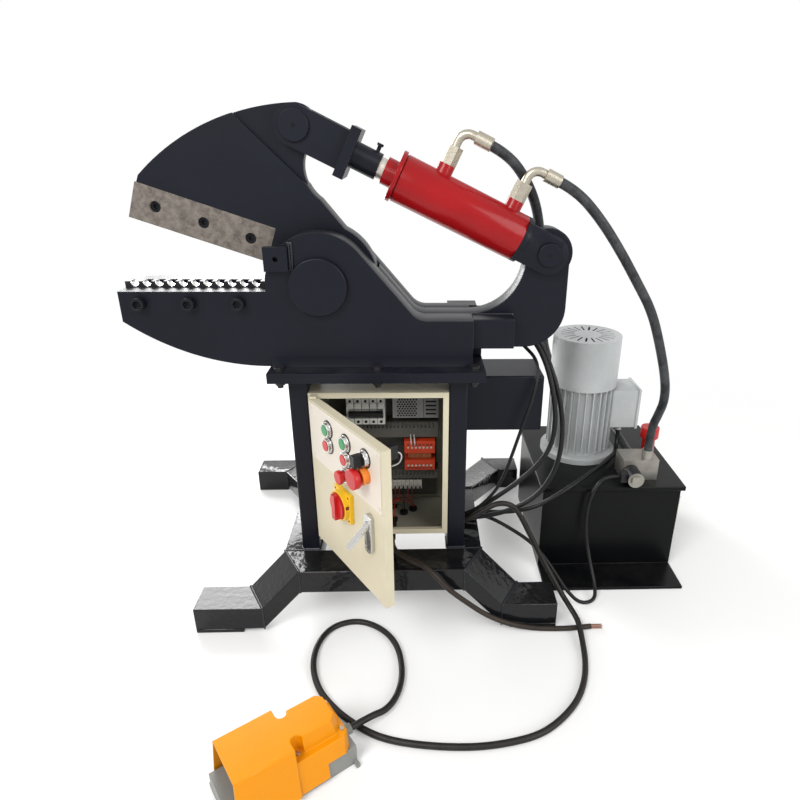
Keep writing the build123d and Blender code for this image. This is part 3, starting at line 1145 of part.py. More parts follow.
def power_unit():
    """Tank on its skid plate, lid, motor with fan, valve block and the tank fittings."""
    tank_y = (TANK_FRONT, SKID_Y[1])
    tank = block(SKID_X, SKID_Y, (0, SKID_SHEET)) + block(SKID_X, tank_y, (SKID_SHEET, TANK_TOP))
    wall = TANK_WALL
    tank -= block(
        (SKID_X[0] + wall, SKID_X[1] - wall), (tank_y[0] + wall, tank_y[1] - wall), (SKID_SHEET, TANK_TOP + 1))
    over = LID_OVERHANG
    lid = block(
        (SKID_X[0] - over, SKID_X[1] + over), (tank_y[0] - over, tank_y[1] + over), (TANK_TOP, LID_TOP))

    flange_top = LID_TOP + MOTOR_FLANGE
    cowl_bottom = MOTOR_BODY_TOP - 2 * MOTOR_FIN
    motor = joined([
        upright(0, 0, LID_TOP, flange_top, MOTOR_FLANGE_RADIUS),
        upright(0, 0, flange_top, MOTOR_BODY_TOP, MOTOR_RADIUS)])
    fin = block(
        (0, MOTOR_RADIUS + MOTOR_FIN), (-MOTOR_FIN_SHEET / 2, MOTOR_FIN_SHEET / 2),
        (flange_top + MOTOR_FIN, MOTOR_BODY_TOP))
    for index in range(MOTOR_FIN_COUNT):
        motor += Rot(0, 0, (index + 0.5) * 360 / MOTOR_FIN_COUNT) * fin
    cowl = upright(0, 0, cowl_bottom, COWL_TOP, COWL_RADIUS)
    cowl -= upright(0, 0, cowl_bottom - 1, COWL_TOP - COWL_SHEET, COWL_RADIUS - COWL_SHEET)
    for index in range(COWL_SLOT_COUNT):
        slot = block(
            (FAN_RADIUS / 2, FAN_RADIUS), (-COWL_SLOT_WIDTH / 2, COWL_SLOT_WIDTH / 2),
            (COWL_TOP - 2 * COWL_SHEET, COWL_TOP + 1))
        cowl -= Rot(0, 0, index * 360 / COWL_SLOT_COUNT) * slot
    motor += cowl
    box_end = MOTOR_RADIUS + MOTOR_FIN + TERMINAL_BOX_DEPTH
    box_half = TERMINAL_BOX_WIDTH / 2
    rim = TERMINAL_LID / 2
    low, high = TERMINAL_BOX_Z
    motor += block((MOTOR_RADIUS - MOTOR_FIN, box_end - TERMINAL_LID), (-box_half, box_half), (low, high))
    motor += block(
        (box_end - TERMINAL_LID, box_end), (-box_half - rim, box_half + rim), (low - rim, high + rim))
    motor += upright(MOTOR_GLAND[0] - MOTOR_X, MOTOR_GLAND[1] - MOTOR_Y, low - GLAND_NUT, low, GLAND_RADIUS)
    shaft_seat = MOTOR_BODY_TOP - 3 * SHAFT_RADIUS
    motor -= upright(0, 0, shaft_seat, MOTOR_BODY_TOP + 1, SHAFT_RADIUS + RUNNING_GAP)

    rotor = joined([
        upright(0, 0, shaft_seat + 1, FAN_Z[1], SHAFT_RADIUS),
        upright(0, 0, FAN_Z[0], FAN_Z[1], 2 * SHAFT_RADIUS)])
    vane = block((SHAFT_RADIUS, FAN_RADIUS), (-FAN_BLADE_SHEET / 2, FAN_BLADE_SHEET / 2), FAN_Z)
    for index in range(FAN_BLADES):
        rotor += Rot(0, 0, index * 360 / FAN_BLADES) * vane
    motor_at = Pos(MOTOR_X, MOTOR_Y, 0)

    front, rear = MANIFOLD_Y
    manifold_top = LID_TOP + MANIFOLD_HEIGHT
    coil_end = front - COIL_LENGTH
    valve = joined([
        block(MANIFOLD_X, MANIFOLD_Y, (LID_TOP, manifold_top)),
        crosswise(VALVE_COIL_X, VALVE_COIL_Z, coil_end, front, COIL_RADIUS),
        crosswise(VALVE_COIL_X, VALVE_COIL_Z, coil_end - COIL_NUT, coil_end, COIL_NUT_RADIUS),
        block(VALVE_PLUG, (VALVE_PLUG_Y - VALVE_PLUG_HALF, VALVE_PLUG_Y + VALVE_PLUG_HALF),
              (VALVE_COIL_Z - VALVE_PLUG_HALF, VALVE_COIL_Z + VALVE_PLUG_HALF)),
        upright(*HOSE_TOP_PORT, manifold_top, manifold_top + HOSE_STUB, HOSE_STUB_RADIUS),
        crosswise(*HOSE_REAR_PORT, rear, rear + HOSE_STUB, HOSE_STUB_RADIUS)])

    cap_start = BREATHER_TOP - BREATHER_CAP
    breather = joined([
        upright(BREATHER_X, BREATHER_Y, LID_TOP, cap_start, BREATHER_RADIUS),
        upright(BREATHER_X, BREATHER_Y, cap_start, BREATHER_TOP, BREATHER_CAP_RADIUS)])
    gauge_half = GAUGE_WIDTH / 2
    gauge = block((SKID_X[1], SKID_X[1] + GAUGE_DEPTH), (GAUGE_Y - gauge_half, GAUGE_Y + gauge_half), GAUGE_Z)
    return {
        "oil_tank": tank,
        "tank_lid": lid,
        "motor_body": motor_at * motor,
        "motor_rotor": motor_at * rotor,
        "valve_block": valve,
        "tank_fittings": group([breather, gauge]),
    }


PEDAL = Location((*PEDAL_CENTRE, 0), (0, 0, PEDAL_YAW))
PEDAL_HINGE_X = 42.0
PEDAL_HINGE_Z = 56.0
PEDAL_RISE = 8.0
PEDAL_LUG = 6.0
PEDAL_CORD_Z = 24.0
PEDAL_CORD_STUB = 16.0
HOOD_SKIRT_Z = 12.0
HOOD_FRONT_X = -118.0
HOOD_REAR_X = 112.0
HOOD_TOP_FRONT_X = -102.0
HOOD_TOP_REAR_X = 80.0
HOOD_TOP_FRONT_HALF = 46.0
HOOD_TOP_REAR_HALF = 34.0
HOOD_NOTCH = 12.0
HOOD_POCKET = 7.0
HOOD_POCKET_DEPTH = 14.0


def taper(front, rear, front_half, rear_half):
    """A plan with its own width at the front and at the rear."""
    return Polygon(
        (front, -front_half), (rear, -rear_half), (rear, rear_half), (front, front_half), align=None)


def foot_switch():
    """Base, hood and the pedal under the hood."""
    half = PEDAL_BASE_X / 2
    base_half = PEDAL_BASE_Y / 2
    hood_half = PEDAL_HOOD_Y / 2
    sheet = PEDAL_HOOD_SHEET
    base = block((-half, half), (-base_half, base_half), (0, PEDAL_BASE_HEIGHT))
    base += block((HOOD_REAR_X - sheet, half), (-hood_half, hood_half), (0, PEDAL_FLANGE))
    base += block((-half, HOOD_FRONT_X / 2), (-hood_half, hood_half), (0, PEDAL_FLANGE))
    lug_inner = PEDAL_TREAD_WIDTH / 2 + PIN_HEAD_GAP
    for side in (-1, 1):
        lug_y = sorted((side * lug_inner, side * (lug_inner + PEDAL_LUG)))
        base += block(
            (PEDAL_HINGE_X - 2 * PEDAL_LUG, PEDAL_HINGE_X + 2 * PEDAL_LUG), lug_y,
            (PEDAL_BASE_HEIGHT, PEDAL_HINGE_Z + 2 * PEDAL_LUG))
    base -= crosswise(PEDAL_HINGE_X, PEDAL_HINGE_Z, -base_half, base_half, PEDAL_PIN_RADIUS + RUNNING_GAP)
    stub = Cylinder(GLAND_RIM, PEDAL_CORD_STUB)
    base += Pos(half + PEDAL_CORD_STUB / 2, 0, PEDAL_CORD_Z) * Rot(0, 90, 0) * stub

    skirt = block((HOOD_FRONT_X, HOOD_REAR_X), (-hood_half, hood_half), (HOOD_SKIRT_Z, PEDAL_LEDGE_Z))
    crown = loft([
        Pos(0, 0, PEDAL_LEDGE_Z) * taper(
            HOOD_FRONT_X, HOOD_TOP_REAR_X + 2 * sheet, hood_half - sheet, HOOD_TOP_REAR_HALF + sheet),
        Pos(0, 0, PEDAL_HOOD_TOP) * taper(
            HOOD_TOP_FRONT_X, HOOD_TOP_REAR_X, HOOD_TOP_FRONT_HALF, HOOD_TOP_REAR_HALF)])
    room_top = PEDAL_HOOD_TOP - sheet
    hollow = loft([
        Pos(0, 0, PEDAL_LEDGE_Z - sheet) * taper(
            HOOD_FRONT_X - 20, HOOD_TOP_REAR_X, hood_half - 2 * sheet, HOOD_TOP_REAR_HALF),
        Pos(0, 0, room_top) * taper(
            HOOD_FRONT_X - 20, HOOD_TOP_REAR_X - sheet, HOOD_TOP_FRONT_HALF - sheet,
            HOOD_TOP_REAR_HALF - sheet)])
    room = block(
        (HOOD_FRONT_X - 1, HOOD_REAR_X - sheet), (-hood_half + sheet, hood_half - sheet),
        (0, PEDAL_LEDGE_Z - sheet))
    hood = skirt + crown
    hood -= hollow
    hood -= room
    hood -= block((HOOD_FRONT_X - 1, HOOD_REAR_X + 1), (-base_half, base_half), (0, PEDAL_BASE_HEIGHT))
    for side in (-1, 1):
        hood -= upright(0, side * hood_half, PEDAL_LEDGE_Z - 2 * HOOD_NOTCH, PEDAL_LEDGE_Z + 1, HOOD_NOTCH)
    top = PEDAL_LEDGE_Z
    pocket_x = HOOD_REAR_X - 2 * HOOD_POCKET
    for side in (-1, 1):
        y = side * (hood_half - 2 * HOOD_POCKET)
        post = upright(pocket_x, y, PEDAL_BASE_HEIGHT, top, HOOD_POCKET + sheet)
        hood += post
        hood -= upright(pocket_x, y, top - HOOD_POCKET_DEPTH, top + 1, HOOD_POCKET)

    tread_half = PEDAL_TREAD_WIDTH / 2
    tread = joined([
        block((-PEDAL_TREAD_LENGTH, 0), (-tread_half, tread_half), (-PEDAL_TREAD / 2, PEDAL_TREAD / 2)),
        crosswise(0, 0, -tread_half, tread_half, PEDAL_TREAD),
        crosswise(0, 0, -tread_half - PEDAL_LUG, tread_half + PEDAL_LUG, PEDAL_PIN_RADIUS)])
    tread = Pos(PEDAL_HINGE_X, 0, PEDAL_HINGE_Z) * Rot(0, PEDAL_RISE, 0) * tread
    return {
        "foot_switch_base": PEDAL * base,
        "foot_switch_hood": PEDAL * hood,
        "foot_pedal": PEDAL * tread,
    }


# Route corners of the hoses and cables between their two ends
HOSE_FRONT_ROUTE = [
    (300, -139, 978), (330, -124, 925), (347, -104, 865), (358, -92, 795), (370, -70, 728),
    (386, -16, 660), (404, 60, 592), (428, 138, 522), (460, 194, 454), (512, 222, 396), (576, 218, 348),
    (626, 178, 308), (643, 118, 280)]
HOSE_REAR_ROUTE = [
    (456, -171, 898), (506, -168, 833), (552, -164, 765), (594, -158, 702), (623, -152, 632),
    (654, -146, 538), (666, -134, 478), (667, -108, 428)]
SIGNAL_ROUTE = [
    (140, -203, 183), (196, -202, 204), (250, -200, 252), (280, -197, 300), (300, -193, 366),
    (322, -186, 440), (343, -176, 500), (356, -158, 556), (352, -134, 584), (328, -106, 604),
    (294, -88, 636)]
POWER_A_ROUTE = [
    (195, -189, 200), (250, -189, 236), (319, -188, 290), (369, -184, 337), (397, -178, 390),
    (402, -166, 460), (391, -148, 522), (376, -128, 575), (350, -106, 620), (308, -89, 655)]
POWER_B_ROUTE = [
    (220, -174, 183), (280, -174, 194), (330, -174, 214), (382, -172, 253), (416, -168, 322),
    (424, -158, 402), (416, -144, 478), (395, -122, 548), (368, -98, 612), (318, -87, 664)]
MOTOR_ROUTE = [
    (175, -159, 182), (236, -159, 190), (300, -160, 188), (370, -163, 202), (437, -163, 248),
    (507, -113, 264), (562, -56, 264), (596, -14, 262), (618, 16, 262), (624, 36, 272)]
VALVE_ROUTE = [
    (150, -146, 178), (205, -147, 179), (250, -154, 174), (288, -172, 164), (350, -198, 134),
    (384, -214, 104), (416, -236, 62), (440, -262, 30), (470, -286, 7), (510, -276, 6), (520, -238, 20),
    (512, -204, 60), (505, -176, 108), (501, -163, 158), (504, -158, 204), (512, -156, 238),
    (528, -147, 262)]
PEDAL_ROUTE = [
    (180, -219, 196), (230, -218, 228), (268, -216, 252), (308, -212, 242), (332, -213, 200),
    (352, -217, 158), (376, -225, 112), (400, -240, 68), (426, -262, 26), (442, -296, 10), (447, -330, 14),
    (448, -364, 21), (447, -405, 11), (441, -463, 7), (426, -517, 7), (400, -567, 7), (357, -612, 7),
    (309, -644, 7), (250, -659, 7), (193, -666, 7), (137, -665, 7), (82, -659, 7), (35, -650, 7),
    (-2, -637, 7), (-40, -614, 7), (-84, -578, 7), (-126, -526, 7), (-148, -461, 7), (-145, -395, 7),
    (-117, -346, 7), (-61, -328, 7), (-4, -356, 7), (34, -409, 7), (47, -486, 7), (38, -544, 7),
    (16, -586, 13)]
SUPPLY_ROUTE = [
    (56, -336, 184), (96, -358, 180), (122, -372, 158), (150, -370, 122), (189, -365, 84),
    (233, -364, 47), (288, -364, 19), (345, -365, 7), (394, -367, 6), (437, -366, 6)]
SUPPLY_END = (478, -361, 6)
CORE_RADIUS = 1.4
CORE_LENGTH = 26.0
CORE_SPREAD = 2.6
PEDAL_APPROACH = 44.0
GLAND_LEAD = 62.0
SUPPLY_LEAD = 40.0
JUNCTION_LEAD = 30.0
PORT_LEAD = 40.0
TOP_LEAD = 60.0
STUB_LEAD = 56.0
MOTOR_LEAD = 24.0
VALVE_LEAD = 32.0


def from_gland(place):
    """Where a cable leaves its elbow gland towards the right, and the end of its straight lead."""
    start = place[0] + GLAND_REACH
    return [(start, place[1], GLAND_EXIT_Z), (start + GLAND_LEAD, place[1], GLAND_EXIT_Z)]


def into_junction(height):
    """The straight lead of a cable into the junction box, and its end."""
    end = JUNCTION_X[1] + GLAND_REACH
    y = REAR_FACE + JUNCTION_DEPTH / 2
    return [(end + JUNCTION_LEAD, y, height), (end, y, height)]


def from_port(port, turn):
    """Where a hose leaves its ferrule, and the end of its straight lead."""
    angle = radians(turn)
    return [
        on_cylinder(port + far * cos(angle), ELBOW_RISE, far * sin(angle))
        for far in (FERRULE_END, FERRULE_END + PORT_LEAD)]


def from_power_unit():
    """The straight leads of hoses, motor cable and valve cable into the power unit."""
    x, z = HOSE_REAR_PORT
    y = MANIFOLD_Y[1] + HOSE_STUB
    rear_stub = [(x, y + STUB_LEAD, z), (x, y, z)]
    top = LID_TOP + MANIFOLD_HEIGHT + HOSE_STUB
    top_stub = [(*HOSE_TOP_PORT, top + TOP_LEAD), (*HOSE_TOP_PORT, top)]
    gland = TERMINAL_BOX_Z[0] - GLAND_NUT
    motor = [(*MOTOR_GLAND, gland - MOTOR_LEAD), (*MOTOR_GLAND, gland)]
    plug = VALVE_PLUG[0]
    valve = [(plug - VALVE_LEAD, VALVE_PLUG_Y, VALVE_COIL_Z), (plug, VALVE_PLUG_Y, VALVE_COIL_Z)]
    return rear_stub, top_stub, motor, valve


def into_pedal():
    """The straight lead of the pedal cord into the foot switch."""
    reach = PEDAL_BASE_X / 2 + PEDAL_CORD_STUB
    yaw = radians(PEDAL_YAW)
    return [
        (PEDAL_CENTRE[0] + far * cos(yaw), PEDAL_CENTRE[1] + far * sin(yaw), PEDAL_CORD_Z)
        for far in (reach + PEDAL_APPROACH, reach)]


def cord_routes():
    """Corner points and radius of every hose, cable and lead."""
    rear_stub, top_stub, motor, valve = from_power_unit()
    low, middle, high = JUNCTION_GLAND_Z
    x = GLAND_SUPPLY[0]
    y = GLAND_SUPPLY[1] - GLAND_REACH
    supply = [(x, y, GLAND_EXIT_Z), (x, y - SUPPLY_LEAD, GLAND_EXIT_Z)]
    hose_front = [*from_port(PORT_AT[0], PORT_TURN[0]), *HOSE_FRONT_ROUTE, *rear_stub]
    hose_rear = [*from_port(PORT_AT[1], PORT_TURN[1]), *HOSE_REAR_ROUTE, *top_stub]
    signal = [*from_gland(GLAND_SIGNAL), *SIGNAL_ROUTE, *into_junction(low)]
    power_a = [*from_gland(GLAND_POWER_A), *POWER_A_ROUTE, *into_junction(middle)]
    power_b = [*from_gland(GLAND_POWER_B), *POWER_B_ROUTE, *into_junction(high)]
    return {
        "hose to head port": (hose_front, HOSE_RADIUS),
        "hose to base port": (hose_rear, HOSE_RADIUS),
        "signal cable": (signal, SIGNAL_CABLE_RADIUS),
        "power cable a": (power_a, POWER_CABLE_RADIUS),
        "power cable b": (power_b, POWER_CABLE_RADIUS),
        "motor cable": ([*from_gland(GLAND_MOTOR), *MOTOR_ROUTE, *motor], MOTOR_CABLE_RADIUS),
        "valve cable": ([*from_gland(GLAND_VALVE), *VALVE_ROUTE, *valve], VALVE_CABLE_RADIUS),
        "pedal cord": ([*from_gland(GLAND_PEDAL), *PEDAL_ROUTE, *into_pedal()], PEDAL_CORD_RADIUS),
        "supply lead": ([*supply, *SUPPLY_ROUTE, SUPPLY_END], SUPPLY_RADIUS),
    }


def cords():
    """Hoses of the cylinder, cables of the cabinet, pedal cord and supply lead."""
    tubes = {}
    for name, (points, radius) in cord_routes().items():
        tubes[name], least = route(points, radius)
        print(f"{name}: radius {radius} mm, least bend {least:.1f} mm, {least / (2 * radius):.1f} diameters")
    x, y, z = SUPPLY_END
    cores = [
        Pos(x + CORE_LENGTH / 2, y + dy, z + dz) * Rot(0, 90, 0) * Cylinder(CORE_RADIUS, CORE_LENGTH)
        for dy in (-CORE_SPREAD, CORE_SPREAD) for dz in (-CORE_SPREAD, CORE_SPREAD)]
    return {
        "hoses": group([tubes["hose to head port"], tubes["hose to base port"]]),
        "column_cables": group([
            tubes["signal cable"], tubes["power cable a"], tubes["power cable b"], tubes["motor cable"],
            tubes["valve cable"]]),
        "pedal_cord": tubes["pedal cord"],
        "supply_lead": group([tubes["supply lead"], *cores]),
    }


def main():
    """Build every node, put the origin at the bottom centre and write one file per node."""
    nodes = {}
    for make in (stand, fixed_jaw, moving_jaw, cylinder, cabinet, door, power_unit, foot_switch):
        nodes.update(make())
    boxes = [shape.bounding_box() for shape in nodes.values()]
    centre_x = (min(box.min.X for box in boxes) + max(box.max.X for box in boxes)) / 2
    centre_y = (min(box.min.Y for box in boxes) + max(box.max.Y for box in boxes)) / 2
    bottom = min(box.min.Z for box in boxes)
    nodes.update(cords())
    shift = Pos(-centre_x, -centre_y, -bottom)
    print(f"moved by {-centre_x:.4f}, {-centre_y:.4f}, {-bottom:.4f}; {len(nodes)} nodes")
    os.makedirs("parts", exist_ok=True)
    for name, shape in nodes.items():
        export_step(shift * shape, f"parts/{name}.step")


if __name__ == "__main__":
    main()
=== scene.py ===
"""Looks of an alligator shear, with its stand, cabinet, power unit and foot switch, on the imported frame."""
from __future__ import annotations

import json
import logging
import math
from dataclasses import dataclass
from enum import Enum
from typing import Iterable, Sequence

import bmesh
import bpy
from mathutils import Matrix, Vector

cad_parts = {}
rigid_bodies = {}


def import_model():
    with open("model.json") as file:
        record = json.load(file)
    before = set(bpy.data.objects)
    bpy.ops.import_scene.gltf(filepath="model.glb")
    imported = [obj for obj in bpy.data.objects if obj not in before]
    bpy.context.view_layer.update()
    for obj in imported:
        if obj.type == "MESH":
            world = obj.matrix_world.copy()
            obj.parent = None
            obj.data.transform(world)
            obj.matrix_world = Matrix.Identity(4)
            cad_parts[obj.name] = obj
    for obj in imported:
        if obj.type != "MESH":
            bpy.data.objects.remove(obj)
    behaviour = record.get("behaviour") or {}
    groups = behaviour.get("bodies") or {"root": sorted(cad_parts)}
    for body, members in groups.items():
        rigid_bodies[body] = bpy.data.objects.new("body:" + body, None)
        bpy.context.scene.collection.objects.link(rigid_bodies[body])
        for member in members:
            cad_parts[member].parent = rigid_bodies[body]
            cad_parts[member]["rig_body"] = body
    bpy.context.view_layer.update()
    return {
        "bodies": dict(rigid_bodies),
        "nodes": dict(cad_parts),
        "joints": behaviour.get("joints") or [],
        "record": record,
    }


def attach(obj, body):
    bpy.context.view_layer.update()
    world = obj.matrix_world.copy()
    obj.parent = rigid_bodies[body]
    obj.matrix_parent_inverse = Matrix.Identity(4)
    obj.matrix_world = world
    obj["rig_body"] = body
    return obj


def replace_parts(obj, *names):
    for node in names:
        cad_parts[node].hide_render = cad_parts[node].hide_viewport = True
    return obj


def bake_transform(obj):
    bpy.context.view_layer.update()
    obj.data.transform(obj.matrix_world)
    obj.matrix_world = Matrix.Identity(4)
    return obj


LOG = logging.getLogger("alligator_shear")
MM = 0.001
DRAWING_SHIFT = Vector((-131.0, 236.6443, 0.0))
DOOR_HINGE = Vector((-134.0, -283.0, 0.0))
DOOR_ANGLE = math.radians(56.0)
MERGE_DISTANCE = 0.00002
GRID_PER_METRE = 1e5
COPLANAR_ANGLE = math.radians(0.5)
CURVE_ANGLE = math.radians(0.8)
SHARP_ANGLE = math.radians(35.0)
SMALL_FACE_AREA = 4e-6
SLOPE_AREA = 0.001
OUTLINE_AREA = 0.01
WHITE = (1.0, 1.0, 1.0, 1.0)

Point = tuple[float, float, float]
Pair = tuple[float, float]
Colour = tuple[float, float, float]
Corners = frozenset[tuple[int, ...]]
Socket = bpy.types.NodeSocket
Piece = bpy.types.Object
Shape = bmesh.types.BMesh


def place(point: Sequence[float]) -> Vector:
    """Move a point of the drawing frame, in millimetres, to the row frame, in metres."""
    return (Vector(point) + DRAWING_SHIFT) * MM


def tone(colour: Colour, share: float) -> Colour:
    """Make a colour darker or brighter."""
    return tuple(min(1.0, channel * share) for channel in colour)


# Shader helpers and shared effects


class Tree:
    """A node tree with short ways to add and join nodes."""

    def __init__(self, tree: bpy.types.NodeTree) -> None:
        """Hold the tree and clear it."""
        self.tree = tree
        self.tree.nodes.clear()

    def add(self, kind: str, **settings: object) -> bpy.types.Node:
        """Add a node of Blender's type, and set the properties or the inputs that are named."""
        node = self.tree.nodes.new(kind)
        for name, value in settings.items():
            title = name.replace("_", " ").title()
            if title in node.inputs:
                node.inputs[title].default_value = value
            elif hasattr(node, name):
                setattr(node, name, value)
            else:
                raise KeyError(f"{kind} has no {name}")
        return node

    def link(self, start: Socket, end: Socket) -> None:
        """Join two sockets."""
        self.tree.links.new(start, end)

    def feed(self, end: Socket, value: object) -> None:
        """Give an input a value, or the output of another node."""
        if isinstance(value, Socket):
            self.link(value, end)
        else:
            end.default_value = value

    def ramp(
            self, source: Socket, low: float, high: float, start: float = 0.0, end: float = 1.0,
            curve: str = "LINEAR") -> Socket:
        """Stretch a value so that low becomes the start and high the end, and keep it between them."""
        node = self.add(
            "ShaderNodeMapRange", clamp=True, interpolation_type=curve, from_min=low, from_max=high,
            to_min=start, to_max=end)
        self.link(source, node.inputs["Value"])
        return node.outputs["Result"]

    def math(self, operation: str, first: Socket, second: Socket | float = 0.0) -> Socket:
        """Combine two values."""
        node = self.add("ShaderNodeMath", operation=operation)
        self.feed(node.inputs[0], first)
        self.feed(node.inputs[1], second)
        return node.outputs["Value"]

    def mix(self, factor: Socket, first: Socket | Colour, second: Socket | Colour) -> Socket:
        """Mix two colours by the share of the second."""
        node = self.add("ShaderNodeMix", data_type="RGBA", clamp_factor=True)
        self.link(factor, node.inputs["Factor"])
        colours = [socket for socket in node.inputs if socket.type == "RGBA"]
        for socket, value in zip(colours, (first, second)):
            self.feed(socket, value if isinstance(value, Socket) else (*value, 1.0))
        return next(socket for socket in node.outputs if socket.type == "RGBA")

    def mix_shaders(self, factor: Socket, first: Socket, second: Socket) -> Socket:
        """Mix two shaders by the share of the second."""
        node = self.add("ShaderNodeMixShader")
        for socket, source in zip(node.inputs, (factor, first, second)):
            self.link(source, socket)
        return node.outputs["Shader"]

    def noise(self, vector: Socket, scale: Socket | float, **settings: float) -> Socket:
        """Give the value of a noise texture."""
        node = self.add("ShaderNodeTexNoise", **settings)
        self.link(vector, node.inputs["Vector"])
        self.feed(node.inputs["Scale"], scale)
        return node.outputs["Fac"]

    def normal(self) -> bpy.types.NodeOutputs:
        """Give the parts of the surface's normal."""
        parts = self.add("ShaderNodeSeparateXYZ")
        self.link(self.add("ShaderNodeNewGeometry").outputs["Normal"], parts.inputs["Vector"])
        return parts.outputs


class Effect(Enum):
    """Shared effects, each built once as a shader node group."""

    MOTTLE = "Mottle"
    PEEL = "Peel"
    DUST = "Dust"
    RUB = "Rub"


class Effects:
    """Builds the shared node groups, whose outputs are masks and heights."""

    def __init__(self) -> None:
        """Start with no group built."""
        self.groups: dict[Effect, bpy.types.NodeTree] = {}

    def group(self, effect: Effect) -> bpy.types.NodeTree:
        """Give an effect's node group, building it the first time."""
        if effect not in self.groups:
            makers = {
                Effect.MOTTLE: self._mottle,
                Effect.PEEL: self._peel,
                Effect.DUST: self._dust,
                Effect.RUB: self._rub,
            }
            self.groups[effect] = makers[effect](effect.value)
        return self.groups[effect]

    def _start(
            self, name: str, inputs: dict[str, float],
            outputs: Iterable[str]) -> tuple[Tree, bpy.types.NodeOutputs, bpy.types.NodeInputs]:
        """Make an empty group with a vector input, value inputs with defaults, and value outputs."""
        group = bpy.data.node_groups.new(name, "ShaderNodeTree")
        tree = Tree(group)
        group.interface.new_socket("Vector", in_out="INPUT", socket_type="NodeSocketVector")
        for title, value in inputs.items():
            socket = group.interface.new_socket(title, in_out="INPUT", socket_type="NodeSocketFloat")
            socket.default_value = value
        for title in outputs:
            group.interface.new_socket(title, in_out="OUTPUT", socket_type="NodeSocketFloat")
        return tree, tree.add("NodeGroupInput").outputs, tree.add("NodeGroupOutput").inputs

    def _mottle(self, name: str) -> bpy.types.NodeTree:
        """Cloudy patches with fine flecks, as on scaled or cast steel."""
        tree, given, end = self._start(name, {"Scale": 30.0, "Fleck": 300.0}, ("Patch", "Fleck"))
        patch = tree.noise(given["Vector"], given["Scale"], detail=6.0, roughness=0.62, distortion=0.6)
        fleck = tree.noise(given["Vector"], given["Fleck"], detail=3.0, roughness=0.7)
        tree.link(tree.ramp(patch, 0.36, 0.66), end["Patch"])
        tree.link(tree.ramp(fleck, 0.4, 0.7), end["Fleck"])
        return tree.tree

    def _peel(self, name: str) -> bpy.types.NodeTree:
        """Fine waves of a sprayed coat, and its slow change of gloss."""
        tree, given, end = self._start(name, {"Scale": 420.0}, ("Height", "Gloss"))
        wave = tree.noise(given["Vector"], given["Scale"], detail=1.5, roughness=0.4)
        slow = tree.noise(given["Vector"], 9.0, detail=4.0, roughness=0.6)
        tree.link(wave, end["Height"])
        tree.link(tree.ramp(slow, 0.34, 0.7), end["Gloss"])
        return tree.tree

    def _dust(self, name: str) -> bpy.types.NodeTree:
        """Dust that settles on faces that point up, in patches."""
        tree, given, end = self._start(name, {"Scale": 24.0, "Amount": 0.5}, ("Mask",))
        patch = tree.noise(given["Vector"], given["Scale"], detail=7.0, roughness=0.68)
        up = tree.ramp(tree.normal()["Z"], 0.2, 0.95)
        lies = tree.math("MULTIPLY", tree.ramp(patch, 0.4, 0.72), up)
        tree.link(tree.math("MULTIPLY", lies, given["Amount"]), end["Mask"])
        return tree.tree

    def _rub(self, name: str) -> bpy.types.NodeTree:
        """Thin scuffs that run mostly one way."""
        tree, given, end = self._start(name, {"Scale": 60.0, "Amount": 0.5}, ("Mask",))
        stretch = tree.add("ShaderNodeMapping", scale=(0.18, 1.0, 1.0), rotation=(0.3, 0.5, 0.35))
        tree.link(given["Vector"], stretch.inputs["Vector"])
        streak = tree.noise(
            stretch.outputs["Vector"], given["Scale"], detail=9.0, roughness=0.75, distortion=0.3)
        tree.link(tree.math("MULTIPLY", tree.ramp(streak, 0.6, 0.74), given["Amount"]), end["Mask"])
        return tree.tree


EFFECTS = Effects()


class Skin:
    """A material in the making: its tree, its shader and its Object coordinates."""

    def __init__(self, name: str, specular: float = 0.5) -> None:
        """Make the material with a Principled BSDF on its output."""
        self.material = bpy.data.materials.new(name)
        self.material.use_nodes = True
        self.tree = Tree(self.material.node_tree)
        self.shader = self.tree.add("ShaderNodeBsdfPrincipled")
        self.shader.inputs["Specular IOR Level"].default_value = specular
        output = self.tree.add("ShaderNodeOutputMaterial")
        self.tree.link(self.shader.outputs["BSDF"], output.inputs["Surface"])
        self.vector = self.tree.add("ShaderNodeTexCoord").outputs["Object"]

    def effect(self, effect: Effect, **values: float) -> bpy.types.NodeOutputs:
        """Place a shared effect with values for its inputs, and give its outputs."""
        node = self.tree.add("ShaderNodeGroup")
        node.node_tree = EFFECTS.group(effect)
        self.tree.link(self.vector, node.inputs["Vector"])
        for title, value in values.items():
            node.inputs[title.title()].default_value = value
        return node.outputs

    def bump(self, height: Socket, strength: float, depth: float) -> None:
        """Raise the surface by a height from 0 to 1, where 1 is a depth in metres."""
        node = self.tree.add("ShaderNodeBump", strength=strength, distance=depth)
        self.tree.link(height, node.inputs["Height"])
        self.tree.link(node.outputs["Normal"], self.shader.inputs["Normal"])

    def vary(self, socket: str, factor: Socket, low: float, high: float) -> None:
        """Let a shader value run from low to high with a factor from 0 to 1."""
        self.tree.link(self.tree.ramp(factor, 0.0, 1.0, low, high), self.shader.inputs[socket])

    def colour(self, socket: Socket) -> None:
        """Give the shader its colour."""
        self.tree.link(socket, self.shader.inputs["Base Color"])


# Finishes


@dataclass(frozen=True)
class Finish:
    """What every finish has: its material's name and its main colour."""

    name: str
    colour: Colour

    def material(self) -> bpy.types.Material:
        """Build the material."""
        raise NotImplementedError


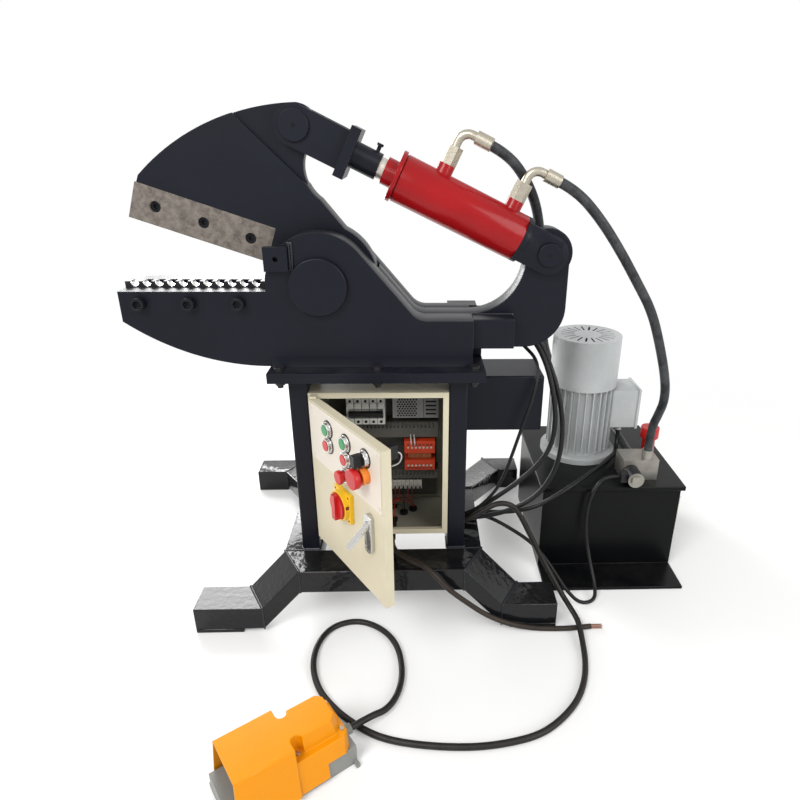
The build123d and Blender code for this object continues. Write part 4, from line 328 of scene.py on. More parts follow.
@dataclass(frozen=True)
class Paint(Finish):
    """A sprayed coat over metal."""

    roughness: float = 0.32
    peel: float = 0.12
    dust: float = 0.3
    dust_colour: Colour = (0.32, 0.3, 0.27)
    shade: float = 0.82
    specular: float = 0.5
    wave: float = 420.0
    wave_depth: float = 0.0008
    scuff: float = 0.32
    most_rough: float = 0.9

    def material(self) -> bpy.types.Material:
        """Build the material."""
        skin = Skin(self.name, self.specular)
        tree = skin.tree
        peel = skin.effect(Effect.PEEL, scale=self.wave)
        rub = skin.effect(Effect.RUB, scale=26.0, amount=0.5)
        dust = skin.effect(Effect.DUST, scale=20.0, amount=self.dust)
        base = tree.mix(peel["Gloss"], tone(self.colour, self.shade), self.colour)
        skin.colour(tree.mix(dust["Mask"], base, self.dust_colour))
        worn = tree.math("MAXIMUM", rub["Mask"], dust["Mask"])
        skin.vary("Roughness", worn, self.roughness, min(self.roughness + self.scuff, self.most_rough))
        skin.bump(peel["Height"], self.peel, self.wave_depth)
        return skin.material


@dataclass(frozen=True)
class Steel(Finish):
    """Bare or plated steel."""

    scale_colour: Colour
    roughness: float = 0.35
    patch: float = 30.0
    fleck: float = 380.0
    scale_share: float = 0.7
    metallic: float = 1.0
    specular: float = 0.5
    polish: float = 1.35
    scale_metallic: float = 0.55

    def material(self) -> bpy.types.Material:
        """Build the material."""
        skin = Skin(self.name, self.specular)
        tree = skin.tree
        mottle = skin.effect(Effect.MOTTLE, scale=self.patch, fleck=self.fleck)
        rub = skin.effect(Effect.RUB, scale=70.0, amount=0.6)
        share = tree.math("MULTIPLY", mottle["Patch"], self.scale_share)
        base = tree.mix(share, self.colour, self.scale_colour)
        skin.colour(tree.mix(rub["Mask"], base, tone(self.colour, self.polish)))
        skin.vary("Metallic", share, self.metallic, self.metallic * self.scale_metallic)
        skin.vary("Roughness", mottle["Fleck"], self.roughness, self.roughness + 0.2)
        skin.bump(mottle["Fleck"], strength=0.12, depth=0.0006)
        return skin.material


@dataclass(frozen=True)
class Toothed(Finish):
    """A blackened blade whose grooves across its edge are bright."""

    groove_colour: Colour
    groove_top: float
    groove_depth: float
    top_fade: Pair = (0.4, 1.6)
    foot_fade: float = 1.0
    side_fade: Pair = (0.6, 0.3)
    shade: float = 0.6
    roughness: float = 0.4
    groove_roughness: float = 0.24

    def material(self) -> bpy.types.Material:
        """Build the material."""
        skin = Skin(self.name)
        tree = skin.tree
        mottle = skin.effect(Effect.MOTTLE, scale=60.0, fleck=320.0)
        height = tree.add("ShaderNodeSeparateXYZ")
        tree.link(skin.vector, height.inputs["Vector"])
        rise = height.outputs["Z"]
        top, foot = self.groove_top * MM, (self.groove_top - self.groove_depth) * MM
        start, full = (top - down * MM for down in self.top_fade)
        within = tree.math(
            "MULTIPLY", tree.ramp(rise, start, full), tree.ramp(rise, foot - self.foot_fade * MM, foot))
        aside = tree.ramp(tree.math("ABSOLUTE", tree.normal()["Y"]), *self.side_fade)
        groove = tree.math("MULTIPLY", within, aside)
        base = tree.mix(mottle["Patch"], self.colour, tone(self.colour, self.shade))
        skin.colour(tree.mix(groove, base, self.groove_colour))
        skin.vary("Metallic", groove, low=0.35, high=0.9)
        skin.vary("Roughness", groove, self.roughness, self.groove_roughness)
        skin.bump(mottle["Fleck"], strength=0.14, depth=0.0006)
        return skin.material


@dataclass(frozen=True)
class Plastic(Finish):
    """Moulded plastic with a fine spark texture."""

    roughness: float = 0.36
    grain: float = 0.06
    specular: float = 0.4
    shade: float = 0.86

    def material(self) -> bpy.types.Material:
        """Build the material."""
        skin = Skin(self.name, self.specular)
        mottle = skin.effect(Effect.MOTTLE, scale=18.0, fleck=900.0)
        skin.colour(skin.tree.mix(mottle["Patch"], self.colour, tone(self.colour, self.shade)))
        skin.vary("Roughness", mottle["Patch"], self.roughness, self.roughness + 0.1)
        skin.bump(mottle["Fleck"], self.grain, depth=0.0005)
        return skin.material


@dataclass(frozen=True)
class Sheath(Finish):
    """Rubber or plastic sheath of a hose, cable or wire."""

    worn_colour: Colour
    roughness: float = 0.55
    worn: float = 0.35
    specular: float = 0.25

    def material(self) -> bpy.types.Material:
        """Build the material."""
        skin = Skin(self.name, self.specular)
        tree = skin.tree
        mottle = skin.effect(Effect.MOTTLE, scale=34.0, fleck=260.0)
        share = tree.math("MULTIPLY", mottle["Patch"], self.worn)
        skin.colour(tree.mix(share, self.colour, self.worn_colour))
        skin.vary("Roughness", mottle["Fleck"], self.roughness - 0.1, self.roughness + 0.15)
        skin.bump(mottle["Fleck"], strength=0.16, depth=0.0006)
        return skin.material


class Finishes:
    """Every finish of the machine, each built once when it is first asked for."""

    def __init__(self) -> None:
        """List the finishes by the name of what they cover."""
        black = (0.0064, 0.0075, 0.0132)
        red = (0.3, 0.0055, 0.0075)
        cream = (0.585, 0.535, 0.395)
        self.table: dict[str, Finish] = {
            "frame": Paint("frame_black", black, 0.38, 0.08, 0.05, specular=0.18),
            "base": Paint(
                "base_black_gloss", (0.0075, 0.0078, 0.0088), 0.13, 0.6, 0.03, specular=0.3, wave=75.0,
                wave_depth=0.0016),
            "tank": Paint("tank_black", (0.003, 0.0032, 0.0038), 0.3, 0.1, 0.02, specular=0.13),
            "weld": Paint("weld_black", black, 0.24, 0.2, 0.02),
            "red": Paint("cylinder_red", red, 0.2, 0.1, 0.02, (0.4, 0.1, 0.08), 0.84, 0.22),
            "cream": Paint("cabinet_cream", cream, 0.44, 0.12, 0.03, (0.5, 0.46, 0.36), 0.94, 0.3),
            # Painted shade: a darker copy of the cabinet cream, for the faces inside the cabinet, which lie
            # in shade.
            "cream_inside": Paint("cabinet_cream_painted_shade", (0.25, 0.245, 0.195), 0.5, 0.12, 0.05, cream, 0.9, 0.2),
            "panel": Paint("control_plate_pale", (0.66, 0.61, 0.53), 0.42, 0.06, 0.02, cream, 0.96, 0.3),
            "motor": Paint("motor_light_grey", (0.45, 0.47, 0.47), 0.45, 0.25, 0.1),
            "hood": Paint("hood_orange", (0.73, 0.262, 0.0005), 0.36, 0.3, 0.02, (0.6, 0.4, 0.2), 0.94, 0.2),
            "grey": Paint("pedal_grey", (0.23, 0.235, 0.22), 0.5, 0.4, 0.1),
            "blade": Steel(
                "blade_scaled_steel", (0.18, 0.156, 0.133), (0.056, 0.044, 0.036), 0.52, 70.0, 300.0, 0.85,
                metallic=0.25),
            "bolt": Steel(
                "bolt_black_oxide", (0.008, 0.009, 0.013), (0.005, 0.005, 0.006), 0.4, 50.0, metallic=0.1,
                specular=0.18),
            "flange_bolt": Steel(
                "flange_bolt_black", (0.016, 0.016, 0.018), (0.01, 0.01, 0.01), 0.4, 50.0, metallic=0.3),
            "rod": Steel("rod_chrome", (0.62, 0.59, 0.52), (0.5, 0.46, 0.38), 0.34, 60.0, 200.0, 0.4),
            "zinc": Steel("zinc_plate", (0.46, 0.425, 0.35), (0.3, 0.27, 0.21), 0.32, 60.0, 420.0, 0.6),
            "chrome": Steel("bright_chrome", (0.6, 0.59, 0.57), (0.5, 0.49, 0.47), 0.12, 12.0, 60.0, 0.25),
            # Painted shade: the mounting plate is made darker than its own colour for the shade inside the
            # cabinet.
            "olive": Steel(
                "plate_passivated_painted_shade", (0.045, 0.044, 0.038), (0.03, 0.03, 0.025), 0.6, 12.0, metallic=0.2),
            # Painted shade: the power supply's casing is made darker than its own colour for the shade inside
            # the cabinet.
            "casing": Steel(
                "casing_aluminium_painted_shade", (0.2, 0.2, 0.195), (0.14, 0.14, 0.14), 0.48, 16.0, metallic=0.5),
            "copper": Steel("winding_copper", (0.3, 0.1, 0.045), (0.16, 0.05, 0.02), 0.4, 60.0),
            "valve": Steel("valve_zinc", (0.34, 0.33, 0.3), (0.22, 0.2, 0.17), 0.38, 26.0),
            "teeth": Toothed("blade_blackened", (0.014, 0.014, 0.016), (0.8, 0.8, 0.79), 779.0, 10.0),
            # Painted shade: near-black for gaps, holes and seams where only shade is seen; the terminal
            # strip's markers take it too.
            "dark": Plastic("black_and_painted_shade", (0.006, 0.006, 0.006), 0.7, specular=0.15),
            # Painted shadow: a dark red for the wire slots of the transformer and the window of the
            # isolator's collar.
            "dark_red": Plastic("terminal_shadow", (0.16, 0.016, 0.005), 0.5),
            # Painted shade: the wiring ducts are made darker than their own grey for the shade inside the
            # cabinet.
            "duct": Plastic("duct_grey", (0.085, 0.08, 0.07), 0.55, specular=0.2),
            "device": Plastic("device_light_grey", (0.46, 0.46, 0.43), 0.42),
            "black_plastic": Plastic("black_plastic", (0.009, 0.009, 0.01), 0.34, specular=0.3),
            "terminal": Plastic("terminal_orange_red", (0.52, 0.045, 0.012), 0.4, specular=0.25),
            "orange": Plastic("collar_orange", (0.78, 0.22, 0.02), 0.38),
            "yellow": Plastic("isolator_yellow", (0.82, 0.49, 0.012), 0.34),
            "red_plastic": Plastic("red_plastic", (0.5, 0.009, 0.009), 0.28, 0.03),
            "green_plastic": Plastic("green_plastic", (0.012, 0.25, 0.07), 0.28, 0.03),
            "gauge": Plastic("gauge_cream", (0.66, 0.61, 0.5), 0.3),
            "hose": Sheath("hose_rubber", (0.014, 0.015, 0.017), (0.075, 0.08, 0.085), 0.5, worn=0.55),
            "cable": Sheath("cable_black", (0.004, 0.004, 0.0043), (0.011, 0.011, 0.011), 0.42),
            "conduit": Sheath(
                "conduit_black", (0.009, 0.0075, 0.0065), (0.024, 0.02, 0.016), 0.48, specular=0.3),
            "brown": Sheath("lead_brown", (0.022, 0.016, 0.012), (0.05, 0.036, 0.026), 0.5),
            "wire_red": Sheath("wire_red", (0.26, 0.02, 0.014), (0.18, 0.02, 0.014), 0.4),
            "wire_brown": Sheath("wire_brown", (0.1, 0.035, 0.02), (0.07, 0.03, 0.02), 0.4),
            "wire_black": Sheath("wire_black", (0.012, 0.012, 0.013), (0.03, 0.03, 0.03), 0.4),
            "wire_white": Sheath("wire_white", (0.55, 0.55, 0.53), (0.45, 0.45, 0.43), 0.4),
        }
        self.built: dict[str, bpy.types.Material] = {}

    def get(self, name: str) -> bpy.types.Material:
        """Give the material of a finish."""
        if name not in self.built:
            self.built[name] = self.table[name].material()
        return self.built[name]


FINISHES = Finishes()


def dress(piece: Piece, finish: str) -> None:
    """Give a whole piece one finish."""
    piece.data.materials.clear()
    piece.data.materials.append(FINISHES.get(finish))


def show(name: str, data: bpy.types.ID) -> Piece:
    """Put a mesh, curve, lamp or camera in the scene."""
    piece = bpy.data.objects.new(name, data)
    bpy.context.scene.collection.objects.link(piece)
    return piece


def show_shape(name: str, shape: Shape) -> Piece:
    """Put a bmesh in the scene as a mesh, and free it."""
    mesh = bpy.data.meshes.new(name)
    shape.to_mesh(mesh)
    shape.free()
    return show(name, mesh)


def new_piece(name: str, shape: Shape, finish: str, body: str, slot: str, second: str = "") -> Piece:
    """Make a piece that rides on a CAD body. The slot of the record that it is passed is not used.

    Faces whose material number is 1 take the second finish.
    """
    piece = show_shape(name, shape)
    for title in filter(None, (finish, second)):
        piece.data.materials.append(FINISHES.get(title))
    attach(piece, body)
    LOG.info("%s: %d faces on %s", name, len(piece.data.polygons), body)
    return piece


def single(items: Iterable[object]) -> list:
    """Give each item once, in the order in which it first comes."""
    return list(dict.fromkeys(items))


def sharp_edges(shape: Shape, limit: float) -> list[bmesh.types.BMEdge]:
    """Give the edges whose faces turn by more than an angle."""
    return [edge for edge in shape.edges if edge.is_manifold and edge.calc_face_angle(0.0) > limit]


def ease_edges(shape: Shape, edges: list[bmesh.types.BMEdge], width: float, segments: int = 2) -> None:
    """Round edges by a width in millimetres, and shade what is new smoothly."""
    made = bmesh.ops.bevel(
        shape, geom=edges, offset=width * MM, offset_type="OFFSET", segments=segments, profile=0.5,
        affect="EDGES", clamp_overlap=True, material=-1)
    for item in (*made["faces"], *made["edges"]):
        item.smooth = True


# Cords


@dataclass
class Route:
    """A hose, cable or wire along one smooth line."""

    name: str
    points: list[Point]
    radius: float
    finish: str
    slot: str
    far_end: str = "object"
    stiffness: str = "medium"
    lay: str = "loose"

    def curve(self, radius: float = 0.0, rounds: int = 0) -> bpy.types.Curve:
        """Make the route's NURBS line, bare or with a radius in millimetres."""
        curve = bpy.data.curves.new(self.name, "CURVE")
        curve.dimensions = "3D"
        curve.resolution_u = 10
        curve.bevel_depth = radius * MM
        curve.bevel_resolution = rounds
        curve.use_fill_caps = radius > 0.0
        spline = curve.splines.new("NURBS")
        spline.points.add(len(self.points) - 1)
        for knot, point in zip(spline.points, self.points):
            knot.co = (*place(point), 1.0)
        spline.order_u = 3
        spline.use_endpoint_u = True
        return curve

    def mesh(self, radius: float = 0.0, rounds: int = 0) -> bpy.types.Mesh:
        """Make the same line as a mesh."""
        curve = self.curve(radius, rounds)
        guide = bpy.data.objects.new(f"{self.name}_guide", curve)
        mesh = bpy.data.meshes.new_from_object(guide)
        bpy.data.objects.remove(guide)
        bpy.data.curves.remove(curve)
        return mesh

    def read(self) -> list[Vector]:
        """Read points along the line."""
        mesh = self.mesh()
        found = [vertex.co.copy() for vertex in mesh.vertices]
        bpy.data.meshes.remove(mesh)
        return found

    def build(self, body: str) -> Piece:
        """Make the cord as a curve that rides on a body."""
        found = self.read()
        piece = show(self.name, self.curve(self.radius, rounds=5))
        dress(piece, self.finish)
        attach(piece, body)
        return piece

    def build_mesh(self) -> Piece:
        """Make the cord as a mesh tube that rides on no body, for a hose that runs across a joint."""
        found = self.read()
        mesh = self.mesh(self.radius, rounds=6)
        mesh.name = self.name
        piece = show(self.name, mesh)
        dress(piece, self.finish)
        for polygon in mesh.polygons:
            polygon.use_smooth = True
        return piece


@dataclass
class Cords:
    """Hoses of the cylinder, cables of the cabinet, pedal cord and supply lead."""

    jaw_pin: Point = (-146.7, -171.0, 1067.1)
    arm_eye: Point = (349.2, -171.0, 829.9)
    elbow_rise: float = 132.0
    ferrule_end: float = 63.0
    port_lead: float = 40.0
    port_at: Pair = (290.0, 445.0)
    port_turn: Pair = (12.0, 0.0)
    gland_z: float = 186.0
    gland_reach: float = 22.0
    gland_lead: float = 62.0
    junction: Pair = (237.0, -82.5)
    junction_lead: float = 30.0
    hose_radius: float = 10.5
    blend_start: Point = (520, -160, 640)
    blend_end: Point = (420, -165, 930)
    core_middle: Point = (491.0, -361.0, 6.0)
    core_aside: float = 2.6
    core_radius: float = 1.4
    core_length: float = 26.0

    def on_cylinder(self, along: float, rise: float, aside: float) -> Point:
        """Give a point by its distance along the cylinder, over it and behind it."""
        start = Vector(self.jaw_pin)
        axis = (Vector(self.arm_eye) - start).normalized()
        over = Vector((-axis.z, 0.0, axis.x))
        return tuple(start + along * axis + rise * over + Vector((0.0, aside, 0.0)))

    def from_port(self, index: int) -> list[Point]:
        """Give the straight lead of a hose out of its ferrule."""
        port, angle = self.port_at[index], math.radians(self.port_turn[index])
        return [
            self.on_cylinder(port + far * math.cos(angle), self.elbow_rise, far * math.sin(angle))
            for far in (self.ferrule_end, self.ferrule_end + self.port_lead)]

    def from_gland(self, x: float, y: float) -> list[Point]:
        """Give the straight lead of a cable out of its gland."""
        start = x + self.gland_reach
        return [(start, y, self.gland_z), (start + self.gland_lead, y, self.gland_z)]

    def into_junction(self, height: float) -> list[Point]:
        """Give the straight lead of a cable into the junction box."""
        x, y = self.junction
        return [(x + self.junction_lead, y, height), (x, y, height)]

    def hoses(self) -> list[Route]:
        """Give the two hoses of the cylinder."""
        lines = {
            "hose_head": [
                *self.from_port(0),
                (300, -139, 978), (330, -124, 925), (347, -104, 865), (358, -92, 795), (370, -70, 728),
                (386, -16, 660), (404, 60, 592), (428, 138, 522), (460, 194, 454), (512, 222, 396),
                (576, 218, 348), (626, 178, 308), (643, 118, 280), (645, 40, 274), (645, -16, 274)],
            "hose_base": [
                *self.from_port(1),
                (456, -171, 898), (506, -168, 833), (552, -164, 765), (594, -158, 702), (623, -152, 632),
                (654, -146, 538), (666, -134, 478), (667, -108, 428), (662, -90, 384), (662, -90, 324)]}
        return [
            Route(name, points, self.hose_radius, "hose", "hose_rubber", stiffness="stiff", lay="hanging")
            for name, points in lines.items()]

    def cables(self) -> list[Route]:
        """Give the cables of the cabinet."""
        signal = [
            *self.from_gland(-10, -204),
            (140, -203, 183), (196, -202, 204), (250, -200, 252), (280, -197, 300), (300, -193, 366),
            (322, -186, 440), (343, -176, 500), (356, -158, 556), (352, -134, 584), (328, -106, 604),
            (294, -88, 636), *self.into_junction(652)]
        power_a = [
            *self.from_gland(46, -189),
            (195, -189, 200), (250, -189, 236), (319, -188, 290), (369, -184, 337), (397, -178, 390),
            (402, -166, 460), (391, -148, 522), (376, -128, 575), (350, -106, 620), (308, -89, 655),
            *self.into_junction(669)]
        power_b = [
            *self.from_gland(68, -174),
            (220, -174, 183), (280, -174, 194), (330, -174, 214), (382, -172, 253), (416, -168, 322),
            (424, -158, 402), (416, -144, 478), (395, -122, 548), (368, -98, 612), (318, -87, 664),
            *self.into_junction(686)]
        motor = [
            *self.from_gland(20, -160),
            (175, -159, 182), (236, -159, 190), (300, -160, 188), (370, -163, 202), (437, -163, 248),
            (507, -113, 264), (562, -56, 264), (596, -14, 262), (618, 16, 262), (624, 36, 272),
            (628, 48, 292), (628, 48, 316)]
        valve = [
            *self.from_gland(-10, -146),
            (150, -146, 178), (205, -147, 179), (250, -154, 174), (288, -172, 164), (350, -198, 134),
            (384, -214, 104), (416, -236, 62), (440, -262, 30), (470, -286, 7), (510, -276, 6),
            (520, -238, 20), (512, -204, 60), (505, -176, 108), (501, -163, 158), (504, -158, 204),
            (512, -156, 238), (528, -147, 262), (554, -127, 268), (586, -127, 268)]
        slot = "cable_black"
        return [
            Route("signal_cable", signal, 4.0, "cable", slot),
            Route("power_cable_a", power_a, 6.0, "cable", slot),
            Route("power_cable_b", power_b, 6.0, "cable", slot),
            Route("motor_cable", motor, 5.5, "cable", slot),
            Route("valve_cable", valve, 4.5, "cable", slot, stiffness="limp")]

    def pedal_cord(self) -> Route:
        """Give the cord of the foot switch."""
        points = [
            *self.from_gland(22, -219),
            (180, -219, 196), (230, -218, 228), (268, -216, 252), (308, -212, 242), (332, -213, 200),
            (352, -217, 158), (376, -225, 112), (400, -240, 68), (426, -262, 26), (442, -296, 10),
            (447, -330, 14), (448, -364, 21), (447, -405, 11), (441, -463, 7), (426, -517, 7),
            (400, -567, 7), (357, -612, 7), (309, -644, 7), (250, -659, 7), (193, -666, 7), (137, -665, 7),
            (82, -659, 7), (35, -650, 7), (-2, -637, 7), (-40, -614, 7), (-84, -578, 7), (-126, -526, 7),
            (-148, -461, 7), (-145, -395, 7), (-117, -346, 7), (-61, -328, 7), (-4, -356, 7), (34, -409, 7),
            (47, -486, 7), (38, -544, 7), (16, -586, 13), (-12.65, -607.62, 24), (-48.69, -632.86, 24)]
        return Route("pedal_cord_line", points, 6.5, "conduit", "cable_black", stiffness="limp")

    def supply_lead(self) -> Route:
        """Give the supply lead, which ends bare."""
        points = [
            (20, -262, 186), (20, -302, 186), (56, -336, 184), (96, -358, 180), (122, -372, 158),
            (150, -370, 122), (189, -365, 84), (233, -364, 47), (288, -364, 19), (345, -365, 7),
            (394, -367, 6), (437, -366, 6), (478, -361, 6)]
        return Route("supply_lead_line", points, 6.0, "brown", "cable_brown", far_end="bare")

    def cores(self) -> Piece:
        """Make the bare cores at the end of the supply lead."""
        shape = bmesh.new()
        x, y, z = self.core_middle
        lying = Matrix.Rotation(math.pi / 2, 4, "Y")
        for aside in (-self.core_aside, self.core_aside):
            for rise in (-self.core_aside, self.core_aside):
                middle = Matrix.Translation(place((x, y + aside, z + rise)))
                bmesh.ops.create_cone(
                    shape, cap_ends=True, segments=12, radius1=self.core_radius * MM,
                    radius2=self.core_radius * MM, depth=self.core_length * MM, matrix=middle @ lying)
        return new_piece("supply_cores", shape, "copper", "frame", "cable_brown")

    def build(self) -> None:
        """Make every cord and let it stand for its CAD node."""
        for route in self.hoses():
            piece = route.build_mesh()
            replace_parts(piece, "hoses")
            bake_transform(piece)
        for route in self.cables():
            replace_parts(route.build("frame"), "column_cables")
        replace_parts(self.pedal_cord().build("frame"), "pedal_cord")
        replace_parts(self.supply_lead().build("frame"), "supply_lead")
        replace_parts(self.cores(), "supply_lead")


# Eased copies of the CAD nodes


@dataclass(frozen=True)
class Region:
    """A box of the drawing frame, by its lowest and highest corners in millimetres."""

    low: Point
    high: Point

    def holds(self, point: Vector) -> bool:
        """Say whether a point of the row frame lies in the box."""
        lowest, highest = place(self.low), place(self.high)
        return all(lowest[axis] <= point[axis] <= highest[axis] for axis in range(3))


@dataclass(frozen=True)
class DoorInside:
    """The side of the open door's panel that faces the cabinet."""

    start: float = -7.0

    def holds(self, point: Vector) -> bool:
        """Say whether a point of the row frame lies behind the panel."""
        away = point - place(DOOR_HINGE)
        return away.x * math.sin(DOOR_ANGLE) + away.y * math.cos(DOOR_ANGLE) > self.start * MM


@dataclass(frozen=True)
class Eased:
    """A CAD node shown with eased edges, and with a second finish on some of its faces."""

    node: str
    finish: str
    width: float
    other_finish: str = ""
    other_region: Region | DoorInside | None = None
    apart: bool = False
    even: bool = False

    @staticmethod
    def corners(verts: Sequence[bmesh.types.BMVert]) -> Corners:
        """Give the places of vertices in hundredths of a millimetre."""
        return frozenset(tuple(round(value * GRID_PER_METRE) for value in vertex.co) for vertex in verts)

    def solids(self, shape: Shape) -> list[list[bmesh.types.BMFace]]:
        """Sort the faces into closed solids, in the order in which the node holds them."""
        groups: list[list[bmesh.types.BMFace]] = [[]]
        open_edges: set[Corners] = set()
        for face in shape.faces:
            groups[-1].append(face)
            for edge in face.edges:
                open_edges ^= {self.corners(edge.verts)}
            if not open_edges:
                groups.append([])
        return [group for group in groups if group]

    def seams(self, shape: Shape) -> None:
        """Join solids of the node that are welded face to face."""
        found: dict[Corners, list[bmesh.types.BMFace]] = {}
        for face in shape.faces:
            found.setdefault(self.corners(face.verts), []).append(face)
        twins = [face for faces in found.values() if len(faces) > 1 for face in faces]
        if twins:
            bmesh.ops.delete(shape, geom=twins, context="FACES_ONLY")
            rims = single(vertex for edge in shape.edges if edge.is_boundary for vertex in edge.verts)
            bmesh.ops.remove_doubles(shape, verts=rims, dist=MERGE_DISTANCE)

    def merged(self, source: Piece) -> Shape:
        """Copy the node's mesh, with its vertices merged and its flat faces whole."""
        shape = bmesh.new()
        shape.from_mesh(source.data)
        for solid in self.solids(shape):
            verts = single(vertex for face in solid for vertex in face.verts)
            bmesh.ops.remove_doubles(shape, verts=verts, dist=MERGE_DISTANCE)
        bmesh.ops.dissolve_limit(
            shape, angle_limit=COPLANAR_ANGLE, verts=shape.verts, edges=shape.edges,
            use_dissolve_boundaries=False)
        if not self.apart:
            self.seams(shape)
        return shape

    @staticmethod
    def shade(shape: Shape) -> None:
        """Shade faces that belong to a curve smoothly, and flat faces flat."""
        for face in shape.faces:
            turns = [edge.calc_face_angle(0.0) for edge in face.edges]
            face.smooth = any(CURVE_ANGLE < turn < SHARP_ANGLE for turn in turns)
        for edge in shape.edges:
            edge.smooth = edge.calc_face_angle(0.0) < SHARP_ANGLE

    @staticmethod
    def even_out(mesh: bpy.types.Mesh) -> None:
        """Shade wide outlines evenly, and let slopes that meet them start level with them.

        A zero vector leaves a corner's normal as it is.
        """
        outlines = [face for face in mesh.polygons if len(face.vertices) > 4 and face.area > OUTLINE_AREA]
        facing = {vertex: face.normal.copy() for face in outlines for vertex in face.vertices}
        normals = [Vector() for _ in mesh.loops]
        large = [face for face in mesh.polygons if face.area > SLOPE_AREA]
        for index in (index for face in large for index in face.loop_indices):
            level = facing.get(mesh.loops[index].vertex_index)
            if level is not None and level.angle(mesh.corner_normals[index].vector) < SHARP_ANGLE:
                normals[index] = level
        mesh.normals_split_custom_set(normals)

    def build(self, nodes: dict[str, Piece], slots: dict[str, str]) -> None:
        """Make the eased copy and let it stand for the node."""
        source = nodes[self.node]
        shape = self.merged(source)
        self.shade(shape)
        ease_edges(shape, sharp_edges(shape, SHARP_ANGLE), self.width)
        bmesh.ops.recalc_face_normals(shape, faces=shape.faces)
        for face in shape.faces:
            inside = self.other_region is not None and self.other_region.holds(face.calc_center_median())
            face.material_index = int(inside)
        piece = new_piece(
            f"{self.node}_eased", shape, self.finish, source["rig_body"], slots[self.node], self.other_finish)
        if self.even:
            self.even_out(piece.data)
        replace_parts(piece, self.node)


EASED_NODES: tuple[Eased, ...] = (
    Eased("base_frame", "base", 3.0),
    Eased("column", "frame", 4.0),
    Eased("flange_plates", "frame", 1.2, apart=True),
    Eased("front_side_plate", "frame", 1.6, even=True),
    Eased("centre_plate", "frame", 1.6),
    Eased("rear_side_plate", "frame", 1.6),
    Eased("upper_jaw", "frame", 1.4),
    Eased("pivot_shaft", "frame", 2.0),
    Eased("arm_pin", "frame", 1.2),
    Eased("jaw_pin", "frame", 1.2),
    Eased("lower_blade_bolts", "bolt", 1.4),
    Eased("upper_blade", "blade", 0.8),
    Eased("lower_blade", "teeth", 0.7),
    Eased("rod_clevis", "frame", 2.2),
    Eased("cylinder_fork", "frame", 1.6),
    Eased("cylinder_barrel", "red", 1.5),
    Eased("cylinder_head", "red", 1.2),
    # The faces inside the cabinet take the darker cream, which is painted shade.
    Eased(
        "cabinet_shell", "cream", 0.7, "cream_inside", Region((-145.5, -261, 207.5), (145.5, -113, 554.5))),
    Eased("door_panel", "cream", 1.0),
    Eased("isolator_plate", "yellow", 2.5),
    Eased("isolator_handle", "red_plastic", 2.2),
    Eased("stop_mushroom", "red_plastic", 1.7),
    Eased("reset_mushroom", "red_plastic", 2.2),
    Eased("selector_knob", "black_plastic", 1.4),
    Eased("button_bezels", "chrome", 0.9, "black_plastic", DoorInside()),
    Eased("stop_collar", "orange", 0.9, "black_plastic", DoorInside()),
    Eased("lock_housing", "chrome", 1.0),
    Eased("lock_lever", "chrome", 1.2),
    Eased("oil_tank", "tank", 1.5),
    Eased("tank_lid", "tank", 2.0),
    Eased("junction_box", "black_plastic", 1.5),
    Eased("foot_switch_base", "grey", 2.0),
    Eased("foot_pedal", "grey", 1.2),
    Eased("transformer", "terminal", 1.2, "copper", Region((45, -190, 346.5), (125, -100, 363.5))),
    Eased("tank_fittings", "red_plastic", 1.5, "gauge", Region((740, -130, 60), (790, -50, 220))),
    Eased("valve_block", "valve", 1.2, "black_plastic", Region((580, -148, 240), (645, -105, 300))),
)

# Finishes of the CAD nodes that keep their own shape
NODE_FINISHES: dict[str, str] = {
    "flange_bolts": "flange_bolt", "upper_blade_bolts": "bolt", "port_fittings": "zinc", "piston_rod": "rod",
    "mounting_plate": "olive", "wiring_ducts": "duct", "circuit_breakers": "device",
    "breaker_toggle": "black_plastic", "power_supply": "casing", "terminal_strip": "device",
    "cable_glands": "black_plastic", "control_plate": "panel", "green_button_left": "green_plastic",
    "green_button_middle": "green_plastic", "red_button_left": "red_plastic",
    "red_button_middle": "red_plastic", "motor_body": "motor", "motor_rotor": "black_plastic",
}


# Detail pieces

Y_AXIS: Point = (0.0, 1.0, 0.0)
Z_AXIS: Point = (0.0, 0.0, 1.0)
SUNK = 0.5
BEAD_NECK = 0.72
BEAD_SIDES = 8


